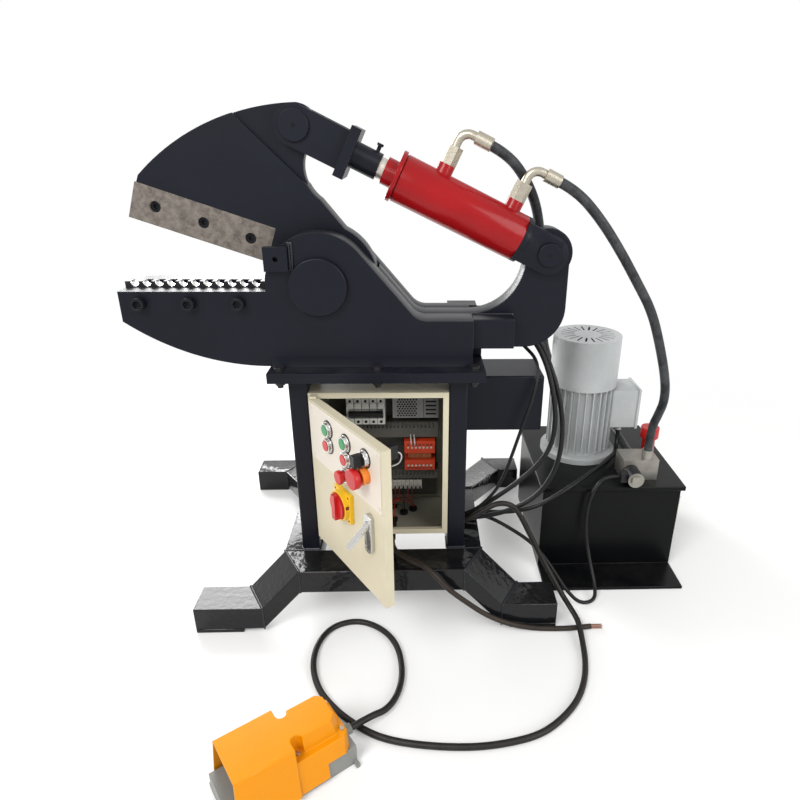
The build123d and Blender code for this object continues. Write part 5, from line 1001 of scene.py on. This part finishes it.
class Maker:
    """Adds simple solids to one bmesh, in millimetres of the drawing frame or of a frame of its own."""

    def __init__(self, frame: Matrix | None = None) -> None:
        """Start empty, with the matrix that turns the maker's points to the drawing frame."""
        self.shape = bmesh.new()
        self.frame = frame if frame is not None else Matrix.Identity(4)

    def row(self, point: Sequence[float]) -> Vector:
        """Move a point of the maker's frame to the row frame."""
        return place(self.frame @ Vector(point))

    def disc(self, centre: Point, radius: float, depth: float, sides: int, axis: Point = Y_AXIS) -> None:
        """Add a short cylinder round its centre."""
        way = self.frame.to_3x3() @ Vector(axis)
        turn = way.to_track_quat("Z", "Y").to_matrix().to_4x4()
        bmesh.ops.create_cone(
            self.shape, cap_ends=True, segments=sides, radius1=radius * MM, radius2=radius * MM,
            depth=depth * MM, matrix=Matrix.Translation(self.row(centre)) @ turn)

    def box(self, low: Point, high: Point, ease: float = 0.0) -> None:
        """Add a box between two corners, with edges eased by a width."""
        size = Vector(high) - Vector(low)
        middle = (Vector(high) + Vector(low)) / 2
        turn = self.frame.to_3x3().to_4x4()
        stretch = Matrix.Diagonal((*(size * MM), 1.0))
        made = bmesh.ops.create_cube(
            self.shape, size=1.0, matrix=Matrix.Translation(self.row(middle)) @ turn @ stretch)
        if ease:
            edges = single(edge for vertex in made["verts"] for edge in vertex.link_edges)
            ease_edges(self.shape, edges, ease)

    def plate(self, across: Pair, up: Pair, front: float, proud: float, ease: float = 0.0) -> None:
        """Add a plate that stands proud of a front face and is sunk a little into it."""
        self.box((across[0], front - proud, up[0]), (across[1], front + SUNK, up[1]), ease)

    def bead(self, start: Point, end: Point, radius: float, pitch: float = 3.2) -> None:
        """Add a weld bead along a straight seam, with ripples of a pitch."""
        first, last = self.row(start), self.row(end)
        way = last - first
        count = max(4, 2 * round(way.length / (pitch * MM)))
        step = way / count
        turn = way.to_track_quat("Z", "Y").to_matrix().to_4x4()
        ring = bmesh.ops.create_circle(
            self.shape, cap_ends=True, segments=BEAD_SIDES, radius=radius * MM,
            matrix=Matrix.Translation(first) @ turn)
        edges = single(edge for vertex in ring["verts"] for edge in vertex.link_edges)
        for index in range(count):
            grown = bmesh.ops.extrude_edge_only(self.shape, edges=edges)["geom"]
            verts = [item for item in grown if isinstance(item, bmesh.types.BMVert)]
            edges = [item for item in grown if isinstance(item, bmesh.types.BMEdge)]
            bmesh.ops.translate(self.shape, verts=verts, vec=step)
            centre = first + step * (index + 1)
            ratio = BEAD_NECK if index % 2 == 0 else 1.0 / BEAD_NECK
            bmesh.ops.scale(
                self.shape, verts=verts, vec=(ratio, ratio, ratio), space=Matrix.Translation(-centre))
        bmesh.ops.holes_fill(self.shape, edges=edges, sides=0)

    def finish(self, name: str, finish: str, body: str, slot: str, smooth: bool = False) -> Piece:
        """Turn the solids into a piece, whose faces are shaded smoothly if small or if all are."""
        bmesh.ops.recalc_face_normals(self.shape, faces=self.shape.faces)
        for face in self.shape.faces:
            face.smooth = smooth or len(face.verts) == 4 and face.calc_area() < SMALL_FACE_AREA
        return new_piece(name, self.shape, finish, body, slot)


@dataclass
class StandWelds:
    """Weld beads of the base and of the posts."""

    base_front: float = -354.0
    tube_width: float = 80.0
    base_top: float = 166.0
    foot_top: float = 66.0
    tube_height: float = 56.0
    bend: float = 182.0
    foot_bend: float = 271.0
    skew: float = 45.0
    rail_inner: float = 147.0
    rail_end: float = 0.0
    rear_bend: float = 291.0
    post_size: float = 40.0
    post_rows: Pair = (-269.0, -137.0)
    bead: float = 3.4
    upright_share: float = 0.7
    joint_share: float = 0.8

    def front_beads(self, maker: Maker, side: int) -> None:
        """Add the beads of one front leg."""
        front, back = self.base_front, self.base_front + self.tube_width
        for bend, top in ((self.bend, self.base_top), (self.foot_bend, self.foot_top)):
            corner = (side * bend, front, top)
            maker.bead(corner, (side * (bend + self.skew), back, top), self.bead)
            foot = (side * bend, front, top - self.tube_height)
            maker.bead(corner, foot, self.bead * self.upright_share)

    def rear_beads(self, maker: Maker, side: int) -> None:
        """Add the beads of one rail and one rear leg."""
        inner, outer = side * self.rail_inner, side * (self.rail_inner + self.tube_width)
        joint = self.base_front + self.tube_width
        for row, share in ((joint, self.joint_share), (self.rail_end, 1.0)):
            maker.bead((inner, row, self.base_top), (outer, row, self.base_top), self.bead * share)
        rear = -self.base_front
        start = (side * self.rear_bend, rear, self.foot_top)
        end = (side * (self.rear_bend + self.skew), rear - self.tube_width, self.foot_top)
        maker.bead(start, end, self.bead)

    def post_beads(self, maker: Maker, side: int, row: float) -> None:
        """Add the beads round the foot of one post."""
        near, far = side * self.rail_inner, side * (self.rail_inner + self.post_size)
        corners = [(near, row), (far, row), (far, row + self.post_size), (near, row + self.post_size)]
        for here, there in zip(corners, corners[1:] + corners[:1]):
            maker.bead((*here, self.base_top), (*there, self.base_top), self.bead)

    def build(self) -> None:
        """Make every bead of the stand as one piece."""
        maker = Maker()
        for side in (-1, 1):
            self.front_beads(maker, side)
            self.rear_beads(maker, side)
            for row in self.post_rows:
                self.post_beads(maker, side, row)
        maker.finish("base_welds", "weld", "frame", "frame_paint", smooth=True)


@dataclass
class JawDetails:
    """Welds of the blocks on the fixed jaw, and painted shade in the centre holes of the pins."""

    front_face: float = -261.0
    adjuster_right: float = -164.75
    adjuster_z: Pair = (808.5, 862.5)
    adjuster_offsets: Pair = (1.5, 6.0)
    adjuster_bead: float = 4.4
    adjuster_pitch: float = 5.5
    gusset_x: Pair = (195.5, 283.0)
    gusset_y: Pair = (-240.0, -197.0)
    gusset_z: Pair = (641.0, 704.0)
    gusset_bead: float = 4.0
    gusset_front_bead: float = 3.6
    jaw_pin: Point = (-146.7, -209.1, 1067.1)
    arm_pin: Point = (349.2, -218.6, 829.9)
    mark_radius: float = 4.0
    mark_depth: float = 0.6

    def welds(self) -> None:
        """Make the beads beside the adjuster block and round the gusset."""
        maker = Maker()
        foot, head = self.adjuster_z
        for offset in self.adjuster_offsets:
            x = self.adjuster_right + offset
            start, end = (x, self.front_face, foot), (x, self.front_face, head)
            maker.bead(start, end, self.adjuster_bead, self.adjuster_pitch)
        left, end = self.gusset_x
        front, back = self.gusset_y
        low, high = self.gusset_z
        maker.bead((left, front, low), (left, front, high), self.gusset_front_bead)
        maker.bead((left, back, high), (end, back, high), self.gusset_bead)
        maker.bead((end, back, low), (end, back, high), self.gusset_bead)
        maker.finish("jaw_welds", "weld", "frame", "frame_paint", smooth=True)

    def build(self) -> None:
        """Make the welds, and the centre holes of the pin heads as dark discs of painted shade."""
        self.welds()
        for name, centre, body in (("jaw_pin", self.jaw_pin, "jaw"), ("arm_pin", self.arm_pin, "frame")):
            dimple = Maker()
            dimple.disc(centre, self.mark_radius, self.mark_depth, 20)
            dimple.finish(f"{name}_dimple", "dark", body, "black_steel")


def middles(ends: Pair, count: int) -> list[float]:
    """Give the middles of equal ways between two ends."""
    return [ends[0] + (index + 0.5) * (ends[1] - ends[0]) / count for index in range(count)]


def lay_wire(name: str, points: list[Point], radius: float, finish: str, body: str) -> None:
    """Make a limp wire that rides on a body."""
    Route(name, points, radius, finish, "cable_brown", stiffness="limp").build(body)


@dataclass
class CabinetInside:
    """Fronts of the devices in the cabinet and the wires between them."""

    breaker_x: Pair = (-79.0, 7.0)
    breaker_z: Pair = (447.0, 510.0)
    breaker_front: float = -192.0
    breaker_ways: int = 5
    breaker_face_z: Pair = (490.0, 500.0)
    breaker_face_half: float = 6.6
    breaker_seam_half: float = 0.5
    breaker_screws: tuple[Pair, ...] = ((453.5, 3.4), (504.0, 3.0))
    supply_front: float = -180.0
    hole_start: Pair = (36.0, 463.0)
    hole_columns: int = 7
    hole_rows: int = 8
    hole_pitch: float = 6.4
    hole_rise: float = 0.87
    hole_radius: float = 2.3
    rib_x: Pair = (99.0, 123.0)
    rib_starts: tuple[float, ...] = (465.0, 475.0, 485.0, 495.0, 505.0)
    rib_height: float = 4.0
    row_x: Pair = (54.0, 116.0)
    row_front: float = -178.0
    row_ways: int = 7
    rows_z: Pair = (333.0, 380.0)
    slots_z: Pair = (326.0, 387.0)
    slot_half: Pair = (2.8, 2.2)
    row_screw: float = 2.6
    strip_x: Pair = (-60.0, 90.0)
    strip_front: float = -165.0
    strip_z: Pair = (262.0, 286.0)
    strip_ways: int = 15
    strip_screw_z: float = 279.0
    strip_screw: float = 2.2
    strip_seam_half: float = 0.4
    marker_half: float = 2.6
    marker_y: Pair = (-162.0, -154.0)
    marker_z: Pair = (285.5, 290.0)
    glands: tuple[Pair, ...] = (
        (22.0, -219.0), (-10.0, -204.0), (46.0, -189.0), (68.0, -174.0), (20.0, -160.0))
    gland_top: float = 220.0
    first_way: int = 3
    wire_count: int = 10
    wire_radius: float = 1.3
    wire_aside: float = 1.6
    wire_finishes: tuple[str, ...] = ("wire_red", "wire_red", "wire_black", "wire_red", "wire_brown")
    row_wires: Pair = (66.0, 74.0)
    row_wire_radius: float = 1.6
    row_wire_end: Pair = (-167.0, 408.0)

    def breakers(self) -> None:
        """Make the seams, the screws and the raised fronts of the breakers."""
        # The seams between the breakers and their screw discs are near-black painted shade.
        dark, pale = Maker(), Maker()
        front = self.breaker_front
        half_way = (self.breaker_x[1] - self.breaker_x[0]) / self.breaker_ways / 2
        for index, middle in enumerate(middles(self.breaker_x, self.breaker_ways)):
            if index:
                left = middle - half_way
                seam = (left - self.breaker_seam_half, left + self.breaker_seam_half)
                dark.plate(seam, self.breaker_z, front, proud=0.25)
            for z, radius in self.breaker_screws:
                dark.disc((middle, front - 0.2, z), radius, depth=0.6, sides=16)
            face = (middle - self.breaker_face_half, middle + self.breaker_face_half)
            pale.plate(face, self.breaker_face_z, front, proud=2.4, ease=0.6)
        dark.finish("breaker_seams", "dark", "frame", "device_light")
        pale.finish("breaker_faces", "device", "frame", "device_light")

    def supply(self) -> None:
        """Make the holes in the power supply's front and the ribs of the relay."""
        # The holes in the supply's front and the relay's ribs are drawn in near-black painted shade.
        dark = Maker()
        x, z = self.hole_start
        for row in range(self.hole_rows):
            shift = self.hole_pitch / 2 if row % 2 else 0.0
            rise = row * self.hole_pitch * self.hole_rise
            for column in range(self.hole_columns):
                centre = (x + shift + column * self.hole_pitch, self.supply_front - 0.1, z + rise)
                dark.disc(centre, self.hole_radius, depth=0.5, sides=6)
        for start in self.rib_starts:
            dark.plate(self.rib_x, (start, start + self.rib_height), self.supply_front, proud=0.3)
        dark.finish("supply_holes", "dark", "frame", "supply_casing")

    def transformer(self) -> None:
        """Make the screws and the wire slots of the transformer's two rows."""
        metal, dark = Maker(), Maker()
        half, rise = self.slot_half
        for screw_z, slot_z in zip(self.rows_z, self.slots_z):
            for x in middles(self.row_x, self.row_ways):
                metal.disc((x, self.row_front - 0.6, screw_z), self.row_screw, depth=1.6, sides=12)
                # The wire slots are dark red painted shadow.
                dark.plate((x - half, x + half), (slot_z - rise, slot_z + rise), self.row_front, proud=0.3)
        metal.finish("transformer_screws", "zinc", "frame", "transformer_core")
        dark.finish("transformer_ways", "dark_red", "frame", "transformer_core")

    def strip(self) -> None:
        """Make the screws, the seams and the markers of the terminal strip."""
        # The seams between the terminals are near-black painted shade; the markers take the same finish.
        metal, dark = Maker(), Maker()
        front = self.strip_front
        half_way = (self.strip_x[1] - self.strip_x[0]) / self.strip_ways / 2
        for x in middles(self.strip_x, self.strip_ways):
            metal.disc((x, front - 0.3, self.strip_screw_z), self.strip_screw, depth=1.0, sides=12)
            seam = (x + half_way - self.strip_seam_half, x + half_way + self.strip_seam_half)
            dark.plate(seam, self.strip_z, front, proud=0.2)
            dark.box(
                (x - self.marker_half, self.marker_y[0], self.marker_z[0]),
                (x + self.marker_half, self.marker_y[1], self.marker_z[1]), ease=0.8)
        metal.finish("strip_screws", "zinc", "frame", "device_light")
        dark.finish("strip_seams", "dark", "frame", "device_light")

    def wires(self) -> None:
        """Make the wires from the terminal strip to the glands, and two at the transformer."""
        front, low, top = self.strip_front, self.strip_z[0], self.gland_top
        ways = middles(self.strip_x, self.strip_ways)[self.first_way:]
        for index, x in zip(range(self.wire_count), ways):
            turn, which = divmod(index, len(self.glands))
            gland_x, gland_y = self.glands[which]
            end = gland_x + (2 * turn - 1) * self.wire_aside
            points = [
                (x, front + 2.0, low + 3.0), (x, front - 5.0, low - 4.0),
                (x + 3.0, front - 15.0 - index, low - 16.0),
                ((x + gland_x) / 2, (front + gland_y) / 2 - 10.0, top + 14.0 + index),
                (end, gland_y, top + 10.0), (end, gland_y, top - 3.0)]
            lay_wire(f"strip_wire_{index}", points, self.wire_radius, self.wire_finishes[which], "frame")
        face, row = self.row_front, self.rows_z[1]
        for index, x in enumerate(self.row_wires):
            points = [
                (x, face - 1.0, row + 7.0), (x, face - 8.0, row + 12.0), (x - 1.0, face - 7.0, row + 22.0),
                (x - 2.0, *self.row_wire_end)]
            lay_wire(f"transformer_wire_{index}", points, self.row_wire_radius, "wire_white", "frame")

    def build(self) -> None:
        """Make every detail in the cabinet."""
        self.breakers()
        self.supply()
        self.transformer()
        self.strip()
        self.wires()


@dataclass
class DoorDetails:
    """Seals behind the push buttons, collar of the isolator, and a contact block behind the door."""

    face: float = -10.5
    columns: Point = (84.0, 157.5, 231.0)
    rows: Point = (514.0, 480.0, 446.0)
    seal_radius: float = 19.0
    seal_depth: float = 1.2
    isolator: Pair = (141.5, 374.0)
    isolator_face: float = -18.0
    collar_inner: float = 28.0
    collar_outer: float = 31.5
    collar_depth: float = 9.5
    collar_sunk: float = 0.3
    collar_ease: float = 0.8
    collar_steps: int = 64
    skirt_middle: float = 11.7
    skirt_radius: float = 26.0
    skirt_depth: float = 4.4
    window_angle: float = 14.0
    window_u: Pair = (-1.0, 0.9)
    window_w: Pair = (1.5, 8.0)
    window_z: Pair = (4.0, 11.0)
    screw_offset: float = 26.0
    screw_radius: float = 2.2
    block_back: float = 31.0
    block_end: float = 51.0
    block_half: float = 13.5
    block_ease: float = 1.2
    wire_radius: float = 1.5
    wire_offsets: tuple[Point, ...] = (
        (4.0, -2.0, -4.0), (6.0, 7.0, -5.0), (9.0, 11.0, -13.0), (9.0, 7.0, -24.0), (6.0, 0.0, -30.0),
        (4.0, -9.0, -31.0))

    def frame(self) -> Matrix:
        """Give the frame of the open door."""
        return Matrix.Translation(DOOR_HINGE) @ Matrix.Rotation(-DOOR_ANGLE, 4, "Z")

    def seals(self) -> None:
        """Make the black seals between the bezels and the plate."""
        first, second, third = self.columns
        top, middle, low = self.rows
        maker = Maker(self.frame())
        buttons = (
            (first, top), (first, middle), (second, top), (second, middle), (third, top), (second, low))
        for u, z in buttons:
            maker.disc((u, self.face - self.seal_depth / 2, z), self.seal_radius, self.seal_depth, 32)
        maker.finish("button_seals", "black_plastic", "door", "knob_black")

    def collar(self) -> None:
        """Make the round collar of the isolator plate."""
        u, z = self.isolator
        maker = Maker(self.frame())
        back, front = self.isolator_face + self.collar_sunk, self.isolator_face - self.collar_depth
        profile = [
            (self.collar_inner, back), (self.collar_inner, front),
            (self.collar_outer - self.collar_ease, front), (self.collar_outer, front + self.collar_ease),
            (self.collar_outer, back)]
        verts = [maker.shape.verts.new(maker.row((u + radius, w, z))) for radius, w in profile]
        edges = [maker.shape.edges.new(pair) for pair in zip(verts, verts[1:] + verts[:1])]
        bmesh.ops.spin(
            maker.shape, geom=verts + edges, cent=maker.row((u, 0.0, z)),
            axis=maker.frame.to_3x3() @ Vector(Y_AXIS), angle=2 * math.pi, steps=self.collar_steps,
            use_merge=True)
        bmesh.ops.remove_doubles(maker.shape, verts=maker.shape.verts, dist=MERGE_DISTANCE)
        maker.finish("isolator_collar", "yellow", "door", "isolator_yellow")

    def isolator_parts(self) -> None:
        """Make the skirt of the isolator's handle, the collar's window and the screws in the corners."""
        u, z = self.isolator
        skirt, window, dots = (Maker(self.frame()) for _ in range(3))
        middle = (u, self.isolator_face - self.skirt_middle, z)
        skirt.disc(middle, self.skirt_radius, self.skirt_depth, 48)
        skirt.finish("isolator_skirt", "red_plastic", "isolator_handle", "red_plastic")
        start = Vector((
            u + self.collar_outer * math.cos(math.radians(self.window_angle)),
            self.isolator_face - self.collar_depth, z))
        low, high = (start + Vector(ends) for ends in zip(self.window_u, self.window_w, self.window_z))
        window.box(low, high, ease=0.4)
        # The collar's window is dark red painted shadow.
        window.finish("isolator_window", "dark_red", "door", "red_plastic")
        # The screws in the corners are near-black discs of painted shade, standing for screw holes.
        for across in (-self.screw_offset, self.screw_offset):
            for rise in (-self.screw_offset, self.screw_offset):
                dots.disc((u + across, self.isolator_face - 0.1, z + rise), self.screw_radius, 0.6, 16)
        dots.finish("isolator_screws", "dark", "door", "isolator_yellow")

    def contacts(self) -> None:
        """Make the contact block behind the selector and its wire."""
        u, z, half = self.columns[-1], self.rows[0], self.block_half
        maker = Maker(self.frame())
        maker.box(
            (u - half, self.block_back, z - half), (u + half, self.block_end, z + half), self.block_ease)
        maker.finish("contact_block", "black_plastic", "door", "knob_black")
        start = Vector((u, self.block_end, z))
        points = [tuple(self.frame() @ (start + Vector(offset))) for offset in self.wire_offsets]
        lay_wire("contact_wire", points, self.wire_radius, "wire_white", "door")

    def build(self) -> None:
        """Make every detail of the door."""
        self.seals()
        self.collar()
        self.isolator_parts()
        self.contacts()


@dataclass
class FootSwitchHood:
    """Moulded hood of the foot switch: a guard over the pedal, a narrower body behind it, and screws."""

    centre: Point = (-156.0, -708.0, 0.0)
    yaw: float = 35.0
    top: float = 112.0
    ledge: float = 79.0
    bottom: float = 12.0
    rear_bottom: float = 42.0
    front: float = -106.0
    roof_front: float = -100.0
    guard_end: float = 4.0
    wall_end: float = 58.0
    rear: float = 105.0
    guard_roof: float = 50.0
    guard_foot: float = 62.5
    step: float = 4.0
    pocket: float = 10.0
    pocket_steps: int = 10
    body_half: float = 33.0
    body_rear: float = 90.0
    body_corner: float = 11.0
    draft: float = 5.0
    sheet: float = 3.6
    merge_distance: float = 0.00005
    ease: float = 2.2
    ease_angle: float = 24.0
    screw_x: Pair = (14.0, 98.0)
    screw_radius: float = 4.2
    screw_depth: float = 3.0
    screw_rise: float = 0.8

    def frame(self) -> Matrix:
        """Give the frame of the foot switch, which runs from its open front to its cord."""
        return Matrix.Translation(self.centre) @ Matrix.Rotation(math.radians(self.yaw), 4, "Z")

    def guard_half(self, height: float) -> float:
        """Give half the width of the guard at a height."""
        share = (self.top - height) / (self.top - self.bottom)
        return self.guard_roof + share * (self.guard_foot - self.guard_roof)

    def body_line(self, height: float) -> list[Point]:
        """Give the side of the rear body at a height, from the screw pocket to the middle of its rear."""
        out = self.draft * (self.top - height) / (self.top - self.ledge)
        centre = self.guard_end + self.pocket
        side, rear = self.body_half + out, self.body_rear + out
        line = []
        for index in range(self.pocket_steps + 1):
            angle = math.radians(180 + 180 * index / self.pocket_steps)
            x, y = centre + self.pocket * math.cos(angle), self.body_half + self.pocket * math.sin(angle)
            line.append((x, y, height))
        line.append((centre + self.pocket, side, height))
        line.append((rear - self.body_corner, side, height))
        line.append((rear, side - self.body_corner, height))
        line.append((rear, 0.0, height))
        return line

    def skin(self, maker: Maker, side: int) -> None:
        """Add the outer skin of the left side, whose number is 1, or of the right, whose number is -1."""
        def face(*points: Point) -> None:
            """Add one face of this side."""
            verts = [maker.shape.verts.new(maker.row((x, side * y, z))) for x, y, z in points]
            maker.shape.faces.new(verts)

        top, ledge, end = self.top, self.ledge, self.guard_end
        roof, body = self.body_line(top), self.body_line(ledge)
        guard = self.guard_half(ledge)
        inset = guard - self.step
        foot = self.guard_foot - self.step
        low = self.guard_half(self.rear_bottom) - self.step
        corner = self.rear - self.body_corner
        front_roof = (self.roof_front, self.guard_roof, top)
        end_roof = (end, self.guard_roof, top)
        end_guard = (end, guard, ledge)
        end_foot = (end, self.guard_foot, self.bottom)
        end_inset, end_inset_foot = (end, inset, ledge), (end, foot, self.bottom)
        wall, wall_low = (self.wall_end, inset, ledge), (self.wall_end, low, self.rear_bottom)
        turn, turn_low = (corner, inset, ledge), (corner, low, self.rear_bottom)
        back = (self.rear, inset - self.body_corner, ledge)
        back_low = (self.rear, low - self.body_corner, self.rear_bottom)
        middle, middle_low = (self.rear, 0.0, ledge), (self.rear, 0.0, self.rear_bottom)
        face((self.roof_front, 0.0, top), *reversed(roof), end_roof, front_roof)
        face(front_roof, end_roof, end_guard, end_foot, (self.front, self.guard_foot, self.bottom))
        face(end_roof, roof[0], body[0], end_inset, end_guard)
        face(end_guard, end_inset, end_inset_foot, end_foot)
        for before, after, before_low, after_low in zip(roof, roof[1:], body, body[1:]):
            face(before, after, after_low, before_low)
        face(*body, middle, back, turn, wall, end_inset)
        face(end_inset, wall, wall_low, (self.wall_end, foot, self.bottom), end_inset_foot)
        face(wall, turn, turn_low, wall_low)
        face(turn, back, back_low, turn_low)
        face(back, middle, middle_low, back_low)

    def hood(self) -> None:
        """Make the hood as a sheet with eased edges, in the place of its CAD node."""
        maker = Maker(self.frame())
        for side in (-1, 1):
            self.skin(maker, side)
        shape = maker.shape
        bmesh.ops.remove_doubles(shape, verts=shape.verts, dist=self.merge_distance)
        bmesh.ops.recalc_face_normals(shape, faces=shape.faces)
        ease_edges(shape, sharp_edges(shape, math.radians(self.ease_angle)), self.ease, segments=3)
        hood = new_piece("foot_switch_hood_moulded", shape, "hood", "frame", "pedal_orange")
        sheet = hood.modifiers.new("sheet", "SOLIDIFY")
        sheet.thickness = self.sheet * MM
        sheet.offset = -1.0
        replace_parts(hood, "foot_switch_hood")

    def build(self) -> None:
        """Make the hood and its four screws."""
        self.hood()
        screws = Maker(self.frame())
        for side in (-1, 1):
            for x in self.screw_x:
                centre = (x, side * self.body_half, self.ledge + self.screw_rise)
                screws.disc(centre, self.screw_radius, self.screw_depth, 20, Z_AXIS)
        screws.finish("hood_screws", "zinc", "frame", "zinc")


# Stage


@dataclass(frozen=True)
class Lamp:
    """A soft square lamp, in metres of the row frame and in watts."""

    name: str
    where: Point
    target: Point
    size: float
    power: float

    def build(self) -> None:
        """Hang the lamp and turn it to its target."""
        data = bpy.data.lights.new(self.name, "AREA")
        data.size = self.size
        data.energy = self.power
        lamp = show(self.name, data)
        lamp.location = self.where
        lamp.rotation_euler = (Vector(self.target) - Vector(self.where)).to_track_quat("-Z", "Y").to_euler()


LAMPS: tuple[Lamp, ...] = (
    Lamp("key", (-1.6, -2.4, 2.9), (0.0, 0.1, 0.5), 1.6, 95.0),
    Lamp("fill", (2.3, -1.9, 1.8), (0.1, 0.1, 0.5), 1.8, 45.0),
    Lamp("rim", (-1.25, 1.9, 1.75), (-0.3, 0.0, 0.3), 0.9, 30.0),
    Lamp("low_rim", (-0.83, 1.9, 0.86), (-0.5, 0.5, 0.1), 0.7, 18.0),
    Lamp("slope_rim", (-1.85, 1.9, 0.45), (-0.4, 0.0, 0.1), 0.8, 24.0),
)


@dataclass
class Stage:
    """Camera, lights, floor and background."""

    eye: Point = (83.5, -1486.0, 1050.0)
    yaw: float = 2.1
    pitch: float = 22.8
    roll: float = 0.46
    focal_pixels: float = 627.6
    picture_pixels: float = 800.0
    axis_pixel: float = 440.0
    sensor: float = 36.0
    view_depth: float = 60.0
    surround_strength: float = 0.62
    floor_half: float = 18.0
    floor_drop: float = 0.0006
    floor_colour: Colour = (0.86, 0.86, 0.85)
    fade: Pair = (0.55, 2.2)
    least_glow: float = 0.15

    def camera(self) -> None:
        """Stand the camera where the photograph was taken."""
        yaw, pitch, roll = (math.radians(value) for value in (self.yaw, self.pitch, self.roll))
        forward = Vector((
            math.sin(yaw) * math.cos(pitch), math.cos(yaw) * math.cos(pitch), -math.sin(pitch)))
        right = Vector((math.cos(yaw), -math.sin(yaw), 0.0))
        up = right.cross(forward)
        side = math.cos(roll) * right + math.sin(roll) * up
        top = -math.sin(roll) * right + math.cos(roll) * up
        lens = bpy.data.cameras.new("camera")
        lens.sensor_width = self.sensor
        lens.lens = self.focal_pixels / self.picture_pixels * lens.sensor_width
        lens.shift_x = (self.picture_pixels / 2 - self.axis_pixel) / self.picture_pixels
        lens.clip_end = self.view_depth
        camera = show("camera", lens)
        turn = Matrix((side, top, -forward)).transposed().to_4x4()
        camera.matrix_world = Matrix.Translation(place(self.eye)) @ turn
        bpy.context.scene.camera = camera

    def seen(self, tree: Tree) -> Socket:
        """Give 1 where the surroundings are seen, directly or in metal or glass."""
        rays = tree.add("ShaderNodeLightPath").outputs
        mirrored = tree.math("MAXIMUM", rays["Is Glossy Ray"], rays["Is Transmission Ray"])
        return tree.math("MAXIMUM", rays["Is Camera Ray"], mirrored)

    def world(self) -> None:
        """Give a pale surrounding that reads as white behind the machine."""
        world = bpy.data.worlds.new("studio")
        bpy.context.scene.world = world
        world.use_nodes = True
        tree = Tree(world.node_tree)
        shine, behind = (
            tree.add("ShaderNodeBackground", color=WHITE, strength=strength).outputs["Background"]
            for strength in (self.surround_strength, 1.0))
        output = tree.add("ShaderNodeOutputWorld")
        tree.link(tree.mix_shaders(self.seen(tree), shine, behind), output.inputs["Surface"])

    def floor(self) -> None:
        """Lay a pale floor that keeps the machine's shadow and fades to white away from it."""
        shape = bmesh.new()
        bmesh.ops.create_grid(shape, x_segments=2, y_segments=2, size=self.floor_half)
        bmesh.ops.translate(shape, verts=shape.verts, vec=(0.0, 0.0, -self.floor_drop))
        floor = show_shape("floor", shape)
        material = bpy.data.materials.new("floor_pale")
        material.use_nodes = True
        tree = Tree(material.node_tree)
        matt = tree.add("ShaderNodeBsdfPrincipled", roughness=0.7, base_color=(*self.floor_colour, 1.0))
        glow = tree.add("ShaderNodeEmission", color=WHITE, strength=1.0)
        output = tree.add("ShaderNodeOutputMaterial")
        away = tree.add("ShaderNodeVectorMath", operation="LENGTH")
        tree.link(tree.add("ShaderNodeTexCoord").outputs["Object"], away.inputs[0])
        fade = tree.ramp(away.outputs["Value"], *self.fade, self.least_glow, 1.0, "SMOOTHSTEP")
        share = tree.math("MULTIPLY", self.seen(tree), fade)
        mixed = tree.mix_shaders(share, matt.outputs["BSDF"], glow.outputs["Emission"])
        tree.link(mixed, output.inputs["Surface"])
        floor.data.materials.append(material)

    def build(self) -> None:
        """Make the camera, the surroundings and the lights."""
        self.camera()
        self.world()
        self.floor()
        for lamp in LAMPS:
            lamp.build()
        bpy.context.scene.view_settings.view_transform = "Standard"


def main() -> None:
    """Build the looks in order."""
    logging.basicConfig(level=logging.INFO, format="%(name)s %(message)s")
    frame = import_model()
    Stage().build()
    for name, finish in NODE_FINISHES.items():
        dress(frame["nodes"][name], finish)
    slots = {subpart["node"]: subpart["material_slot"] for subpart in frame["record"]["subparts"]}
    for eased in EASED_NODES:
        eased.build(frame["nodes"], slots)
    for assembly in (StandWelds(), JawDetails(), CabinetInside(), DoorDetails(), FootSwitchHood(), Cords()):
        assembly.build()


if __name__ == "__main__":
    main()
